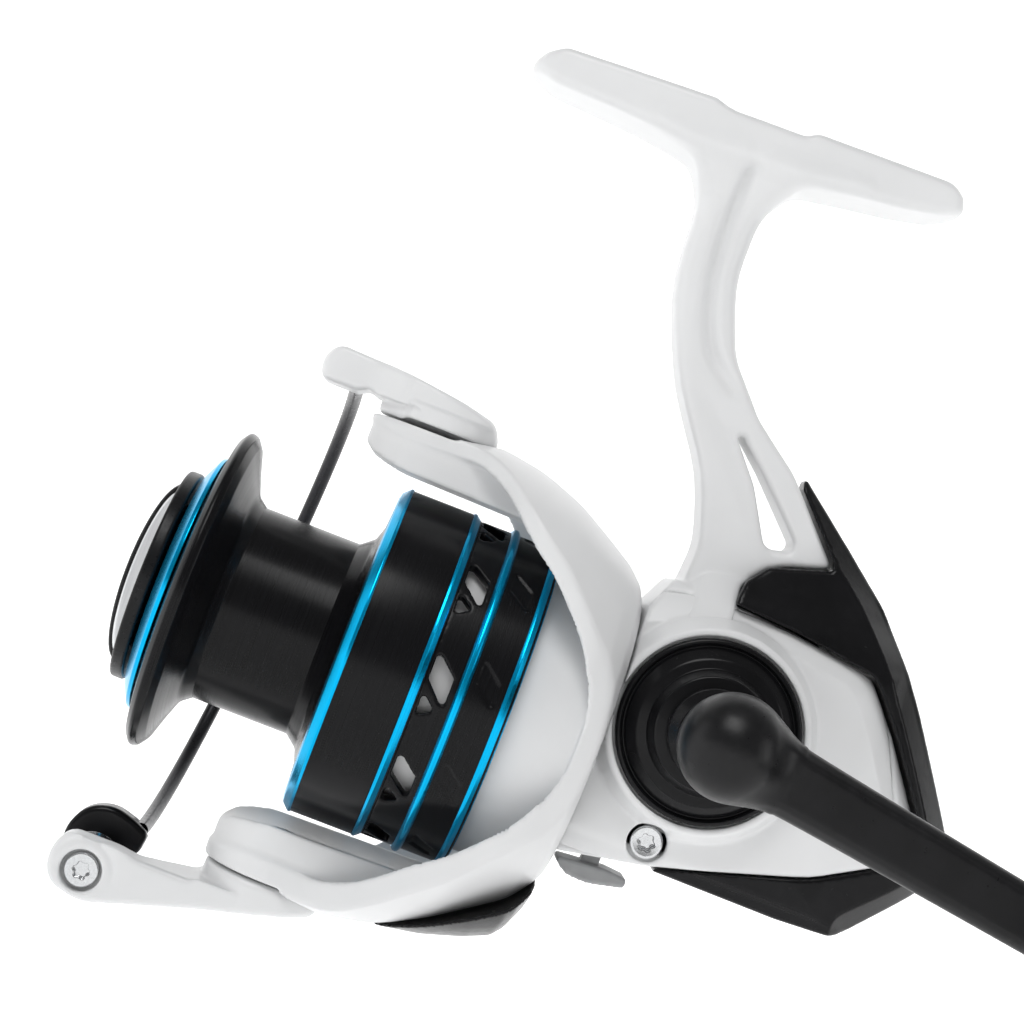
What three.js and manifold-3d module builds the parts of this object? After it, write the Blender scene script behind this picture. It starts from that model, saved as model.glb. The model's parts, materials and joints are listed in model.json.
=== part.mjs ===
// Spinning reel. Millimetres, +Z up towards the rod.
// The origin is the middle of the front pad of the foot's seat. X runs along the spool's axis, with the spool
// towards -X, and the crank is on the -Y side.
// Every piece is drawn in the frame of the spool's axis (Y = Z = 0, crank axis at X = 0), and the whole group is
// moved at the end so that the seat is at the origin.
import * as THREE from "three";
import { mergeVertices } from "three/addons/utils/BufferGeometryUtils.js";
import Module from "manifold-3d";

const wasm = await Module();
wasm.setup();

// ---------------------------------------------------------------- driving dimensions
const FIT = 0.3; // gap between pieces that touch
const RUN = 0.45; // gap between pieces that move past each other
const WALL = 2; // wall of the housing
const SIDES = { tiny: 8, small: 12, middle: 20, large: 32 };

const SEAT = { x: -43, z: 96.47, tilt: 2.25 }; // middle of the front pad, and its slope in degrees
const DRIVE_Z = 8.3; // height of the crank axis over the spool's axis
const BAIL_X = -52.4; // the bail's hinge line, parallel to Z
const BODY = { front: -14, half: 12.4, seam: -8.8, neckFront: -30, neckRadius: 12.8 };
const ROTOR = { rear: -14.6, front: -46, drum: 22.5, bore: 20, armInner: 28.8, core: 9.6, face: -43 };
const SHAFT = { radius: 2, front: -86.4, rear: 26 };
const PINION = { radius: 3.4, bore: 2.4, teeth: 9, tip: 3.6, root: 2.8, rear: -7.4, front: -49.4 };
const GEAR = { teeth: 47, radius: 11.6, inner: 8.6, back: -7.6, face: -4.7, tooth: 0.8 };
const SWING = {
  x: 14.9, z: 5.5, radius: 9.2, root: 8.4, teeth: 28,
  drive: 5.7, driveRoot: 4.9, driveTeeth: 17,
};
const SWING_Y = { near: 4.4, far: 7, pin: 7, pinRadius: 1.1 };
const SLIDER = { front: 19.3, rear: 24.5, half: 2.6, low: -3, high: 14.2, rodZ: 11.6, rodRadius: 1.2 };
const SPOOL = { lip: -79.8, wall: -52.3, skirtRear: -28.2, arbor: 15.5, cavity: 13, skirtInner: 23.6 };
const KNOB = { rear: -82.7, band: -84.9, radius: 16.5, nose: -88.5, dome: 14.3, fin: 3.7, plate: 1.1 };
const BEARING = { outer: 8, inner: 3.85, width: 4 };
const CRANK = { shaft: 3.5, hubY: -42, hubRadius: 7.5, length: 58, slope: -9, screw: 2.1 };
const GRIP = { near: -84, far: -52, wide: 10.5, thin: 7 };
const ROLLER = { x: -77.8, z: -44, radius: 3.6 };

const CAP_Y = { seat: -15.6, rim: -17.2, nose: -21.4 };
const CAP_RADIUS = 13.6;

// ---------------------------------------------------------------- materials
const paint = (color, roughness, metalness) => new THREE.MeshStandardMaterial({ color, roughness, metalness });
const WHITE = paint(0xd9dcdd, 0.35, 0.15);
const BLACK = paint(0x0c0c0e, 0.3, 0.1);
const ANODISED = paint(0x101114, 0.35, 0.8);
const BLUE = paint(0x0b7fd0, 0.25, 0.9);
const STEEL = paint(0x9a9da1, 0.3, 1);
const BRASS = paint(0xb98b3e, 0.35, 1);
const ZINC = paint(0x85888c, 0.45, 0.8);
const GREY = paint(0x5d6063, 0.5, 0.1);
const SILVER = paint(0xc9ccd0, 0.3, 0.6);
const RUBBER = paint(0x17181a, 0.75, 0);
const FELT = paint(0x6b5f50, 0.95, 0);

// ---------------------------------------------------------------- solids
const flipWinding = (index) => {
  for (let i = 0; i < index.length; i += 3) [index[i], index[i + 1]] = [index[i + 1], index[i]];
};

function signedVolume(position, index) {
  const [a, b, c] = [new THREE.Vector3(), new THREE.Vector3(), new THREE.Vector3()];
  let volume = 0;
  for (let i = 0; i < index.length; i += 3) {
    a.fromBufferAttribute(position, index[i]);
    b.fromBufferAttribute(position, index[i + 1]);
    c.fromBufferAttribute(position, index[i + 2]);
    volume += a.dot(b.cross(c));
  }
  return volume;
}

// A closed geometry as a solid that can be joined and cut.
function solid(source) {
  const bare = source.clone();
  bare.deleteAttribute("normal");
  bare.deleteAttribute("uv");
  const merged = mergeVertices(bare, 1e-4);
  const index = [];
  for (let i = 0; i < merged.index.count; i += 3) {
    const [a, b, c] = [merged.index.getX(i), merged.index.getX(i + 1), merged.index.getX(i + 2)];
    if (a !== b && b !== c && c !== a) index.push(a, b, c);
  }
  if (signedVolume(merged.attributes.position, index) < 0) flipWinding(index);
  const vertProperties = new Float32Array(merged.attributes.position.array);
  return new wasm.Manifold(new wasm.Mesh({ numProp: 3, vertProperties, triVerts: new Uint32Array(index) }));
}

const join = (...solids) => solids.reduce((whole, next) => whole.add(next));
const cut = (body, ...tools) => tools.reduce((rest, tool) => rest.subtract(tool), body);
const common = (...solids) => solids.reduce((whole, next) => whole.intersect(next));

// An outline from corners [u, v, radius]: each corner with a radius is rounded by an arc.
function rounded(corners, steps = 3) {
  const points = [];
  corners.forEach(([u, v, radius = 0], i) => {
    const corner = new THREE.Vector2(u, v);
    if (radius === 0) {
      points.push(corner);
      return;
    }
    const before = new THREE.Vector2(...corners.at(i - 1)).sub(corner);
    const after = new THREE.Vector2(...corners[(i + 1) % corners.length]).sub(corner);
    const half = before.angleTo(after) / 2;
    const reach = Math.min(radius / Math.tan(half), before.length() * 0.49, after.length() * 0.49);
    const bisector = before.clone().normalize().add(after.clone().normalize()).normalize();
    const centre = corner.clone().addScaledVector(bisector, reach / Math.cos(half));
    const from = corner.clone().addScaledVector(before.normalize(), reach).sub(centre);
    const to = corner.clone().addScaledVector(after.normalize(), reach).sub(centre);
    const sweep = Math.atan2(from.cross(to), from.dot(to));
    for (let s = 0; s <= steps; s++) {
      points.push(from.clone().rotateAround(new THREE.Vector2(), (sweep * s) / steps).add(centre));
    }
  });
  return points;
}

// The outline moved outwards by distance, or inwards if it is negative.
function grown(points, distance) {
  const outward = THREE.ShapeUtils.isClockWise(points) ? -distance : distance;
  const apart = (list, least) => list.filter((p, i) => p.distanceTo(list.at(i - 1)) > least);
  const clean = apart(points, 1e-3);
  const offset = clean.map((point, i) => {
    const into = point.clone().sub(clean.at(i - 1)).normalize();
    const out = clean[(i + 1) % clean.length].clone().sub(point).normalize();
    const normal = new THREE.Vector2(into.y + out.y, -into.x - out.x).normalize();
    const spread = Math.max(0.5, normal.dot(new THREE.Vector2(into.y, -into.x)));
    return point.clone().addScaledVector(normal, outward / spread);
  });
  return apart(offset, 0.08);
}

const extruded = (points, depth) =>
  new THREE.ExtrudeGeometry(new THREE.Shape(points), { depth, bevelEnabled: false, steps: 1 });

// Prisms along Y, Z and X, of outlines in (x, z), (x, y) and (y, z).
const prismY = (points, from, to) =>
  solid(extruded(points, to - from).rotateX(Math.PI / 2).translate(0, to, 0));
const prismZ = (points, from, to) => solid(extruded(points, to - from).translate(0, 0, from));
const TURN_X = new THREE.Matrix4().makeBasis(
  new THREE.Vector3(0, 1, 0),
  new THREE.Vector3(0, 0, 1),
  new THREE.Vector3(1, 0, 0),
);
const prismX = (points, from, to) =>
  solid(extruded(points, to - from).applyMatrix4(TURN_X).translate(from, 0, 0));

// Bodies turned about X or Y, from a profile of [along, radius], at a place across the axis.
const lathe = (profile, sides) =>
  new THREE.LatheGeometry([...profile].map(([along, radius]) => new THREE.Vector2(radius, along)), sides);
const turnedX = (profile, sides, y = 0, z = 0) =>
  solid(lathe(profile, sides).rotateZ(-Math.PI / 2).translate(0, y, z));
const turnedY = (profile, sides, x = 0, z = 0) => solid(lathe(profile, sides).translate(x, 0, z));
const turnedZ = (profile, sides, x = 0, y = 0) =>
  solid(lathe(profile, sides).rotateX(Math.PI / 2).translate(x, y, 0));

const rodProfile = (from, to, radius) => [[from, 0], [from, radius], [to, radius], [to, 0]];
const ringProfile = (from, to, outer, inner) =>
  [[from, inner], [from, outer], [to, outer], [to, inner], [from, inner]];
const rodX = (from, to, radius, sides = SIDES.small, y = 0, z = 0) =>
  turnedX(rodProfile(from, to, radius), sides, y, z);
const rodY = (from, to, radius, sides = SIDES.small, x = 0, z = DRIVE_Z) =>
  turnedY(rodProfile(from, to, radius), sides, x, z);
const rodZ = (from, to, radius, sides = SIDES.small, x = BAIL_X, y = 0) =>
  turnedZ(rodProfile(from, to, radius), sides, x, y);
const ringX = (from, to, outer, inner, sides = SIDES.small, y = 0, z = 0) =>
  turnedX(ringProfile(from, to, outer, inner), sides, y, z);
const ringY = (from, to, outer, inner, sides = SIDES.small, x = 0, z = DRIVE_Z) =>
  turnedY(ringProfile(from, to, outer, inner), sides, x, z);
const block = (x0, x1, y0, y1, z0, z1) =>
  solid(new THREE.BoxGeometry(x1 - x0, y1 - y0, z1 - z0).translate((x0 + x1) / 2, (y0 + y1) / 2, (z0 + z1) / 2));

// A round bar of the given radius along a curve.
function bar(curve, radius, sides, steps) {
  const section = new THREE.Shape();
  section.absarc(0, 0, radius, 0, 2 * Math.PI);
  const options = { steps, extrudePath: curve, bevelEnabled: false, curveSegments: Math.ceil(sides / 2) };
  return solid(new THREE.ExtrudeGeometry(section, options));
}

// A helical spring along X.
class Helix extends THREE.Curve {
  constructor(from, to, radius, turns) {
    super();
    Object.assign(this, { from, to, radius, turns });
  }
  getPoint(t, target = new THREE.Vector3()) {
    const angle = 2 * Math.PI * this.turns * t;
    const along = this.from + (this.to - this.from) * t;
    return target.set(along, this.radius * Math.cos(angle), this.radius * Math.sin(angle));
  }
}

// The outline of a spur gear about the origin.
function gearOutline(teeth, root, tip) {
  const points = [];
  for (let i = 0; i < teeth; i++) {
    const pitch = (2 * Math.PI) / teeth;
    const corners = [[0, root], [0.22, tip], [0.45, tip], [0.67, root]];
    corners.forEach(([part, radius]) => {
      const angle = (i + part) * pitch;
      points.push(new THREE.Vector2(radius * Math.cos(angle), radius * Math.sin(angle)));
    });
  }
  return points;
}
const moved = (points, u, v) => points.map((point) => point.clone().add(new THREE.Vector2(u, v)));
const circle = (radius, sides, u = 0, v = 0) =>
  Array.from({ length: sides }, (_, i) => {
    const angle = (2 * Math.PI * i) / sides;
    return new THREE.Vector2(u + radius * Math.cos(angle), v + radius * Math.sin(angle));
  });

// The solid's surface as a geometry, and the solid moved by a matrix.
function surface(shape) {
  const mesh = shape.getMesh();
  const geometry = new THREE.BufferGeometry();
  geometry.setAttribute("position", new THREE.BufferAttribute(new Float32Array(mesh.vertProperties), 3));
  geometry.setIndex(new THREE.BufferAttribute(new Uint32Array(mesh.triVerts), 1));
  return geometry;
}
function placed(shape, turnY, x, y, z) {
  return solid(surface(shape).rotateY(THREE.MathUtils.degToRad(turnY)).translate(x, y, z));
}

// ---------------------------------------------------------------- the assembly
const reel = new THREE.Group();
reel.name = "spinning_reel";
reel.position.set(-SEAT.x, 0, -SEAT.z);

function piece(name, material, shape) {
  const geometry = surface(shape);
  geometry.computeVertexNormals();
  const part = new THREE.Mesh(geometry, material);
  part.name = name;
  reel.add(part);
}

// ---------------------------------------------------------------- body outlines, in (x, z)
const HOUSING = rounded([
  [BODY.front, -16.4], [-6.6, -14.9], [-0.3, -13.6], [22.3, -6.5], [33, -0.9, 3],
  [37.4, 3.6, 2], [27.2, 17.1, 8], [20.8, 24.3, 3], [8, 26.2], [-11.6, 27.6], [BODY.front, 22],
]);
const GUARD = rounded([
  [-2, 20], [-2, 28.4], [-1.5, 31, 1], [1.2, 34.2, 1],
  [10.8, 37.2, 0.5], [8, 40.8], [2.4, 47.2], [2.1, 49.2, 0.5],
  [12.5, 41], [20, 34.8, 6], [30, 22], [40, 8, 4], [42.4, 4.6, 2], [40.2, -3.2, 4], [31.4, -12.2, 2],
  [28.8, -13.7, 3], [20, -14.2, 6], [0.6, -14], [8, 0],
]);
const STEM = rounded([
  [-10.4, 24], [-9.7, 34, 6], [-13, 43.8, 15], [-21, 55, 25], [-27.4, 69, 25], [-28, 82, 8], [-31, 87.8, 4],
  [-38, 91.5], [-8, 93], [-14, 90, 2], [-18.5, 83.5, 6], [-18.5, 73, 12], [-14.5, 62, 6], [-8, 54.6, 4],
  [0, 48.8, 8], [10.6, 37.4, 0.6], [4, 35.3], [1, 33.6], [-1.8, 30], [-1.8, 24],
]);
const WINDOW = rounded([[-13.3, 54.8, 0.8], [-4.5, 47.2, 6], [5, 37.9, 1], [-0.2, 36.7, 1.5], [-5, 45, 9]]);
const WEB = rounded([[-4, 24], [-2, 33.8], [4, 35.4], [10, 37.4], [13, 33], [13, 24]]);
// Half widths along X (plan) and up Z (front view).
const PLAN = [[BODY.front - 2, 12.4], [18, 12.4], [27, 11.2], [35, 9.2], [41, 6.8], [44, 4.5]];
const FRONT = [[-17, 7.5], [-13, 10.6], [-7, 12.4], [20, 12.4], [27, 11.2], [33, 8], [39, 6.2], [51, 5]];

const mirrored = (halves, extra) => [
  ...halves.map(([along, half]) => new THREE.Vector2(along, half + extra)),
  ...[...halves].reverse().map(([along, half]) => new THREE.Vector2(along, -half - extra)),
];
// The space that the body's outer skin stays inside, in plan and from the front.
function bodyLimit(extra = 0) {
  const plan = mirrored(PLAN, extra);
  const front = mirrored(FRONT, extra).map((p) => new THREE.Vector2(p.y, p.x));
  return common(prismZ(plan, -40, 60), prismX(front, -40, 60));
}

// ---------------------------------------------------------------- body_frame: foot, stem, strut, housing, neck
const FOOT = { half: 8.4 };
const FOOT_SIDE = rounded([
  [-16.9, -3.9, 1], [-14.8, -1.4, 1.5], [-12, 0], [11.5, 0], [13.4, -0.7], [15, -1], [26, -1], [27.8, 0],
  [49.6, 0, 1], [52.2, -1.2, 1.5], [53.5, -3.6, 1], [49, -5.4, 2],
  [43, -6.4], [33, -7.3], [8, -7.6], [-2, -6.5],
  [-12, -5.7, 2],
]);
const FOOT_PLAN = rounded([
  [-17, -6.2, 5.5], [-2, -7.4, 20], [16, -8.4, 20], [36, -7.4, 20], [53.6, -6.2, 5.5],
  [53.6, 6.2, 5.5], [36, 7.4, 20], [16, 8.4, 20], [-2, 7.4, 20], [-17, 6.2, 5.5],
]);
function foot() {
  const shape = common(prismY(FOOT_SIDE, -FOOT.half, FOOT.half), prismZ(FOOT_PLAN, -12, 2));
  return placed(shape, -SEAT.tilt, SEAT.x, 0, SEAT.z);
}

const STEM_FRONT = [[24, 7], [32, 6], [44, 5.2], [80, 5.2], [86, 6], [90, 7.4], [95, 7.6]];
function stem() {
  const width = mirrored(STEM_FRONT, 0).map((p) => new THREE.Vector2(p.y, p.x));
  const blade = cut(prismY(STEM, -8, 8), prismY(WINDOW, -9, 9));
  const strutRoom = prismY(rounded([[-9, 20], [-9, 52], [20, 36], [20, 20]]), -9, 9);
  const slimmer = cut(strutRoom, block(-9, 20, -4.6, 4.6, 10, 60), block(-12, -2.2, -9, 9, 10, 34));
  return cut(common(blade, prismX(width, -60, 60)), slimmer);
}

const NEAR_SCREW = [-1.9, -10.2]; // cover screw put in from the crank side, in (x, z)
const FAR_SCREWS = [[29, 4.6], [-8.4, 23.4]]; // cover screws put in from the far side
const POSTS = [NEAR_SCREW, ...FAR_SCREWS];
const LEVER = { pinZ: -10.8, pin: 1.3, neck: 1.4 }; // anti-reverse lever: pin along X inside the floor
const NECK = { clutch: 10.5, seat: -18.9, lip: 6.2, lipFront: -13.9 };
function bodyFrame() {
  const shell = common(prismY(HOUSING, BODY.seam, BODY.half), bodyLimit());
  const room = common(prismY(grown(HOUSING, -WALL), BODY.seam - 1, BODY.half - WALL), bodyLimit(-WALL));
  const neck = cut(
    rodX(BODY.neckFront, BODY.front + 1, BODY.neckRadius, SIDES.middle),
    block(BODY.front - FIT, BODY.front + 2, -20, BODY.seam, -20, 20),
  );
  const boss = rodY(BODY.half - 1, 16, 11, SIDES.middle);
  const web = prismY(WEB, -3, 3);
  const axle = rodY(3.8, 11, 1.7, SIDES.small, SWING.x, SWING.z);
  const shoulder = rodY(7.4, 11, 3, SIDES.small, SWING.x, SWING.z);
  const rodSocket = common(
    rodX(28.2, 33, 2.6, SIDES.tiny, 0, SLIDER.rodZ),
    prismY(HOUSING, BODY.seam, BODY.half),
  );
  const holes = [
    rodX(-60, NECK.seat, NECK.clutch, SIDES.middle),
    rodX(NECK.seat - 1, NECK.lipFront, BEARING.outer + FIT, SIDES.middle),
    rodX(-20, -10, NECK.lip, SIDES.small),
    rodY(6, 15, BEARING.outer + FIT, SIDES.middle),
    rodY(14, 20, 6.4, SIDES.small),
    rodX(20, 30.6, SLIDER.rodRadius + FIT, SIDES.tiny, 0, SLIDER.rodZ),
    block(-9.6, -5.4, -3.6, 3.6, -22, LEVER.pinZ),
    rodX(-12.9, -8, LEVER.pin + FIT, SIDES.tiny, 0, LEVER.pinZ),
  ];
  const flange = cut(shell, room);
  const outer = join(flange, neck, boss, rodSocket, axle, shoulder, web, stem(), foot());
  const posts = POSTS.map(([x, z]) => rodY(BODY.seam - 0.2, BODY.half - 1, 3, SIDES.small, x, z));
  const pilot = rodY(BODY.seam - 2, 4, 1.3 + FIT, SIDES.tiny, ...NEAR_SCREW);
  const farHoles = FAR_SCREWS.flatMap(([x, z]) => [
    rodY(-20, 20, 1.3 + FIT, SIDES.tiny, x, z),
    rodY(9.9, 20, 2.6 + FIT, SIDES.small, x, z),
  ]);
  const ribs = posts.map((post) => common(post, prismY(HOUSING, BODY.seam, BODY.half)));
  return cut(join(outer, ...ribs), ...holes, pilot, ...farHoles);
}
// ---------------------------------------------------------------- side_cover, rear_guard, cap, screws
function sideCover() {
  const shell = common(prismY(HOUSING, -BODY.half, BODY.seam - FIT), bodyLimit());
  const room = common(prismY(grown(HOUSING, -WALL), WALL - BODY.half, 0), bodyLimit(-WALL));
  const profile = [[-9.4, 0], [-9.4, 16.6], [-12.4, 16.6], [CAP_Y.rim, 15], [CAP_Y.rim, 0]];
  const ring = turnedY(profile, SIDES.large, 0, DRIVE_Z);
  const boss = common(ring, block(BODY.front, 40, -20, 0, -30, 50));
  const posts = POSTS.map(([x, z]) => rodY(-11, BODY.seam - FIT, 3.4, SIDES.small, x, z));
  const posted = posts.map((post) => common(post, prismY(HOUSING, -BODY.half, 0)));
  const holes = [
    rodY(-20, CAP_Y.seat, CAP_RADIUS + 0.5, SIDES.large),
    rodY(-16, -11, BEARING.outer + FIT, SIDES.middle),
    rodY(-12, 0, 6.2, SIDES.small),
    rodY(-20, 0, 1.3 + FIT, SIDES.small, ...NEAR_SCREW),
    rodY(-20, -9.9, 2.6 + FIT, SIDES.small, ...NEAR_SCREW),
    ...FAR_SCREWS.map(([x, z]) => rodY(-10.5, 0, 1.3 + FIT, SIDES.tiny, x, z)),
  ];
  return cut(join(cut(shell, room), boss, ...posted), ...holes);
}

const coverScrew = ([x, z]) =>
  cut(
    join(rodY(-11.9, -10.2, 2.6, SIDES.small, x, z), rodY(-11, 2, 1.3, SIDES.tiny, x, z)),
    rodY(-13, -10.9, 1.3, 6, x, z),
  );
const farScrew = ([x, z]) =>
  cut(
    join(rodY(10.2, 11.9, 2.6, SIDES.small, x, z), rodY(-10.1, 11, 1.3, SIDES.tiny, x, z)),
    rodY(10.9, 13, 1.3, 6, x, z),
  );

function rearGuard() {
  const full = common(prismY(GUARD, -BODY.half, BODY.half), bodyLimit());
  const hollow = prismY(grown(HOUSING, FIT), -20, 20);
  const notch = prismY(grown(STEM, FIT), -6.2, 6.2);
  const slot = prismY(grown(WEB, FIT), -3 - FIT, 3 + FIT);
  return cut(full, hollow, notch, slot);
}

function bearingCap() {
  const profile = [
    [CAP_Y.seat - FIT, 5.4], [CAP_Y.seat - FIT, CAP_RADIUS], [CAP_Y.rim - 0.6, CAP_RADIUS], [-18.6, 12.6],
    [-19, 9.4], [CAP_Y.nose, 8], [CAP_Y.nose, 5.4], [CAP_Y.seat - FIT, 5.4],
  ];
  return turnedY(profile, SIDES.large, 0, DRIVE_Z);
}

const bearingY = (from, inner) => ringY(from, from + BEARING.width, BEARING.outer, inner, SIDES.middle);
const farCap = () =>
  turnedY([[16.3, 0], [16.3, 9.6], [18.6, 9.6], [20, 7.6], [20, 0]], SIDES.middle, 0, DRIVE_Z);

function antiReverseLever() {
  const tab = rounded([
    [-13.4, -17.6], [-10.5, -19.7, 2], [-7, -19.9, 6], [-1.4, -18.6, 0.6], [-1.6, -17.2, 0.5],
    [-5, -16.9],
  ]);
  return join(
    prismY(tab, -3.4, 3.4),
    block(-8.9, -6.1, -LEVER.neck, LEVER.neck, -17.6, LEVER.pinZ),
    rodX(-12.5, -5, LEVER.pin, SIDES.tiny, 0, LEVER.pinZ),
  );
}

// ---------------------------------------------------------------- crank and drive train
function driveGear() {
  const hub = rodY(GEAR.back, SWING_Y.near + 0.1, 4.5, SIDES.small);
  const plate = rodY(GEAR.back, GEAR.face, GEAR.radius, SIDES.large);
  const spur = moved(gearOutline(SWING.driveTeeth, SWING.driveRoot, SWING.drive), 0, DRIVE_Z);
  const small = prismY(spur, SWING_Y.near, SWING_Y.far);
  const crown = moved(gearOutline(GEAR.teeth, GEAR.inner - 1, GEAR.radius - 0.1), 0, DRIVE_Z);
  const ring = prismY(crown, GEAR.face - 1, GEAR.face + GEAR.tooth);
  const teeth = cut(ring, rodY(-10, 0, GEAR.inner, SIDES.middle));
  return cut(join(plate, hub, small, teeth), rodY(-20, 20, CRANK.shaft + FIT, SIDES.small));
}
const driveShaft = () =>
  cut(rodY(-15.2, 14.6, CRANK.shaft, SIDES.small), rodY(-16, 8, CRANK.screw + FIT, SIDES.small));
function crankCollar() {
  const start = CAP_Y.nose - RUN;
  const profile = [
    [start, 2.5], [start, 6.8], [-24.5, 6.8], [-26, 5.2], [-33.4, 5], [-33.4, 2.5], [start, 2.5],
  ];
  return turnedY(profile, SIDES.middle, 0, DRIVE_Z);
}

const ARM_SIDE = rounded([[0, 5.6], [14, 4.7], [CRANK.length, 4], [CRANK.length, -4], [14, -4.7], [0, -5.6]]);
function crankArm() {
  const hub = new THREE.SphereGeometry(CRANK.hubRadius, SIDES.middle, SIDES.small);
  hub.translate(0, CRANK.hubY, 0);
  const stub = rodY(-44, -33.8, 5, SIDES.middle, 0, 0);
  const screw = rodY(-36, 6, CRANK.screw, SIDES.tiny, 0, 0);
  const plan = rounded([
    [0, CRANK.hubY - 3.2], [24, CRANK.hubY - 3.2, 60],
    [CRANK.length + 5, -50.8, 3], [CRANK.length + 5, -47, 2],
    [24, CRANK.hubY + 2.2, 60], [0, CRANK.hubY + 3.4],
  ]);
  const beam = common(prismY(ARM_SIDE, -60, -30), prismZ(plan, -10, 10));
  const eye = rodY(-51, -46.6, 5, SIDES.middle, CRANK.length, 0);
  const holes = [
    rodY(-60, -40, 1.7 + FIT, SIDES.small, CRANK.length, 0),
    rodY(-46.5, -40, 3.2 + FIT, SIDES.small, CRANK.length, 0),
  ];
  return aimed(cut(join(solid(hub), stub, screw, beam, eye), ...holes));
}
// Turns a solid drawn with its arm along +X to the crank's slope about the crank axis.
const aimed = (shape) => placed(shape, -CRANK.slope, 0, 0, DRIVE_Z);

function knobSpindle() {
  const pin = rodY(-81, -44.6, 1.7, SIDES.small, CRANK.length, 0);
  const head = rodY(-46.2, -44.6, 3.2, SIDES.small, CRANK.length, 0);
  return aimed(join(pin, head));
}
function gripShape(extra) {
  const profile = [
    [GRIP.far, 0], [GRIP.far, 0.5], [GRIP.far - 1, 0.58], [-62, 0.62],
    [-72, 0.9], [-80, 1], [GRIP.near, 0.86], [GRIP.near, 0],
  ];
  const geometry = lathe(profile.map(([along, part]) => [along, part * (GRIP.wide + extra)]), SIDES.middle);
  geometry.scale(1, 1, GRIP.thin / GRIP.wide).translate(CRANK.length, 0, 0);
  return solid(geometry);
}
function knobBody() {
  const capSeat = rodY(-90, -78, 4.6, SIDES.small, CRANK.length, 0);
  const bore = rodY(-90, -40, 3.6, SIDES.small, CRANK.length, 0);
  return aimed(cut(gripShape(0), capSeat, bore));
}
const knobBearing = () => aimed(ringY(-56, -52.6, 3.1, 2.05, SIDES.small, CRANK.length, 0));
const knobCap = () => aimed(rodY(-84.4, -81.5, 4.3, SIDES.small, CRANK.length, 0));

// ---------------------------------------------------------------- oscillation
function oscillationGear() {
  const outline = moved(gearOutline(SWING.teeth, SWING.root, SWING.radius), SWING.x, SWING.z);
  const wheel = prismY(outline, SWING_Y.near, SWING_Y.far);
  const pinX = SWING.x + SWING_Y.pin;
  const pin = rodY(SLIDER.half + FIT, SWING_Y.near + 1, SWING_Y.pinRadius, SIDES.tiny, pinX, SWING.z);
  return cut(join(wheel, pin), rodY(0, 20, 1.7 + RUN, SIDES.small, SWING.x, SWING.z));
}
function slider() {
  const side = rounded([
    [SLIDER.front, SLIDER.low, 1], [SLIDER.front, SLIDER.high, 1],
    [SLIDER.rear, SLIDER.high, 1], [SLIDER.rear, SLIDER.low, 1],
  ]);
  const slot = block(SLIDER.front + 1.1, SLIDER.rear - 1.1, SLIDER.half - 1, SLIDER.half + 1, -1.9, 13);
  return cut(
    prismY(side, -SLIDER.half, SLIDER.half),
    slot,
    rodX(0, 40, SHAFT.radius + FIT, SIDES.small),
    rodX(0, 40, SLIDER.rodRadius + FIT, SIDES.tiny, 0, SLIDER.rodZ),
    rodY(-6, 0, 1.1, SIDES.tiny, (SLIDER.front + SLIDER.rear) / 2, 0),
  );
}
const sliderScrew = () => {
  const x = (SLIDER.front + SLIDER.rear) / 2;
  return join(rodY(-3.6, -SLIDER.half - FIT, 1.6, SIDES.tiny, x, 0), rodY(-3.2, -2.3, 0.8, SIDES.tiny, x, 0));
};
const guideRod = () => rodX(4.4, 30.2, SLIDER.rodRadius, SIDES.tiny, 0, SLIDER.rodZ);
const mainShaft = () => rodX(SHAFT.front, SHAFT.rear, SHAFT.radius, SIDES.small);

// ---------------------------------------------------------------- rotor
function pinion() {
  const teeth = prismX(gearOutline(PINION.teeth, PINION.root, PINION.tip), -12.6, PINION.rear);
  const sleeve = rodX(PINION.front, -12.6 + 0.4, PINION.radius, SIDES.small);
  return cut(join(teeth, sleeve), rodX(-60, 0, PINION.bore, SIDES.small));
}
const ROTOR_OUT = [
  [ROTOR.rear, 23], [-15.6, 25], [-18, 27.2], [-22, 29.6], [-28, 33],
  [-35, 35.5], [-42, 36.6], [-50, 36.4], [-63, 35.9],
];
const ROTOR_OUT_LOW = [
  [ROTOR.rear, 23], [-15.6, 25], [-18, 27.4], [-22, 30], [-28, 33.8], [-35, 37], [-42.6, 38.4], [-63, 37.4],
];
const ARM_PLAN = [
  [ROTOR.rear + 1, 22.6], [-17.7, 23.4], [-22, 24], [-31, 22.1], [-36, 20], [-41, 14.5], [-46, 10.6],
  [-52.4, 9.9],
];
function armPlan() {
  const half = ARM_PLAN.map(([x, y]) => new THREE.Vector2(x, y));
  const tip = Array.from({ length: 7 }, (_, i) => {
    const angle = Math.PI / 2 + (Math.PI * (i + 1)) / 8;
    return new THREE.Vector2(BAIL_X + 9.9 * Math.cos(angle), 9.9 * Math.sin(angle));
  });
  return [...half, ...tip, ...half.map((p) => new THREE.Vector2(p.x, -p.y)).reverse()];
}
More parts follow.
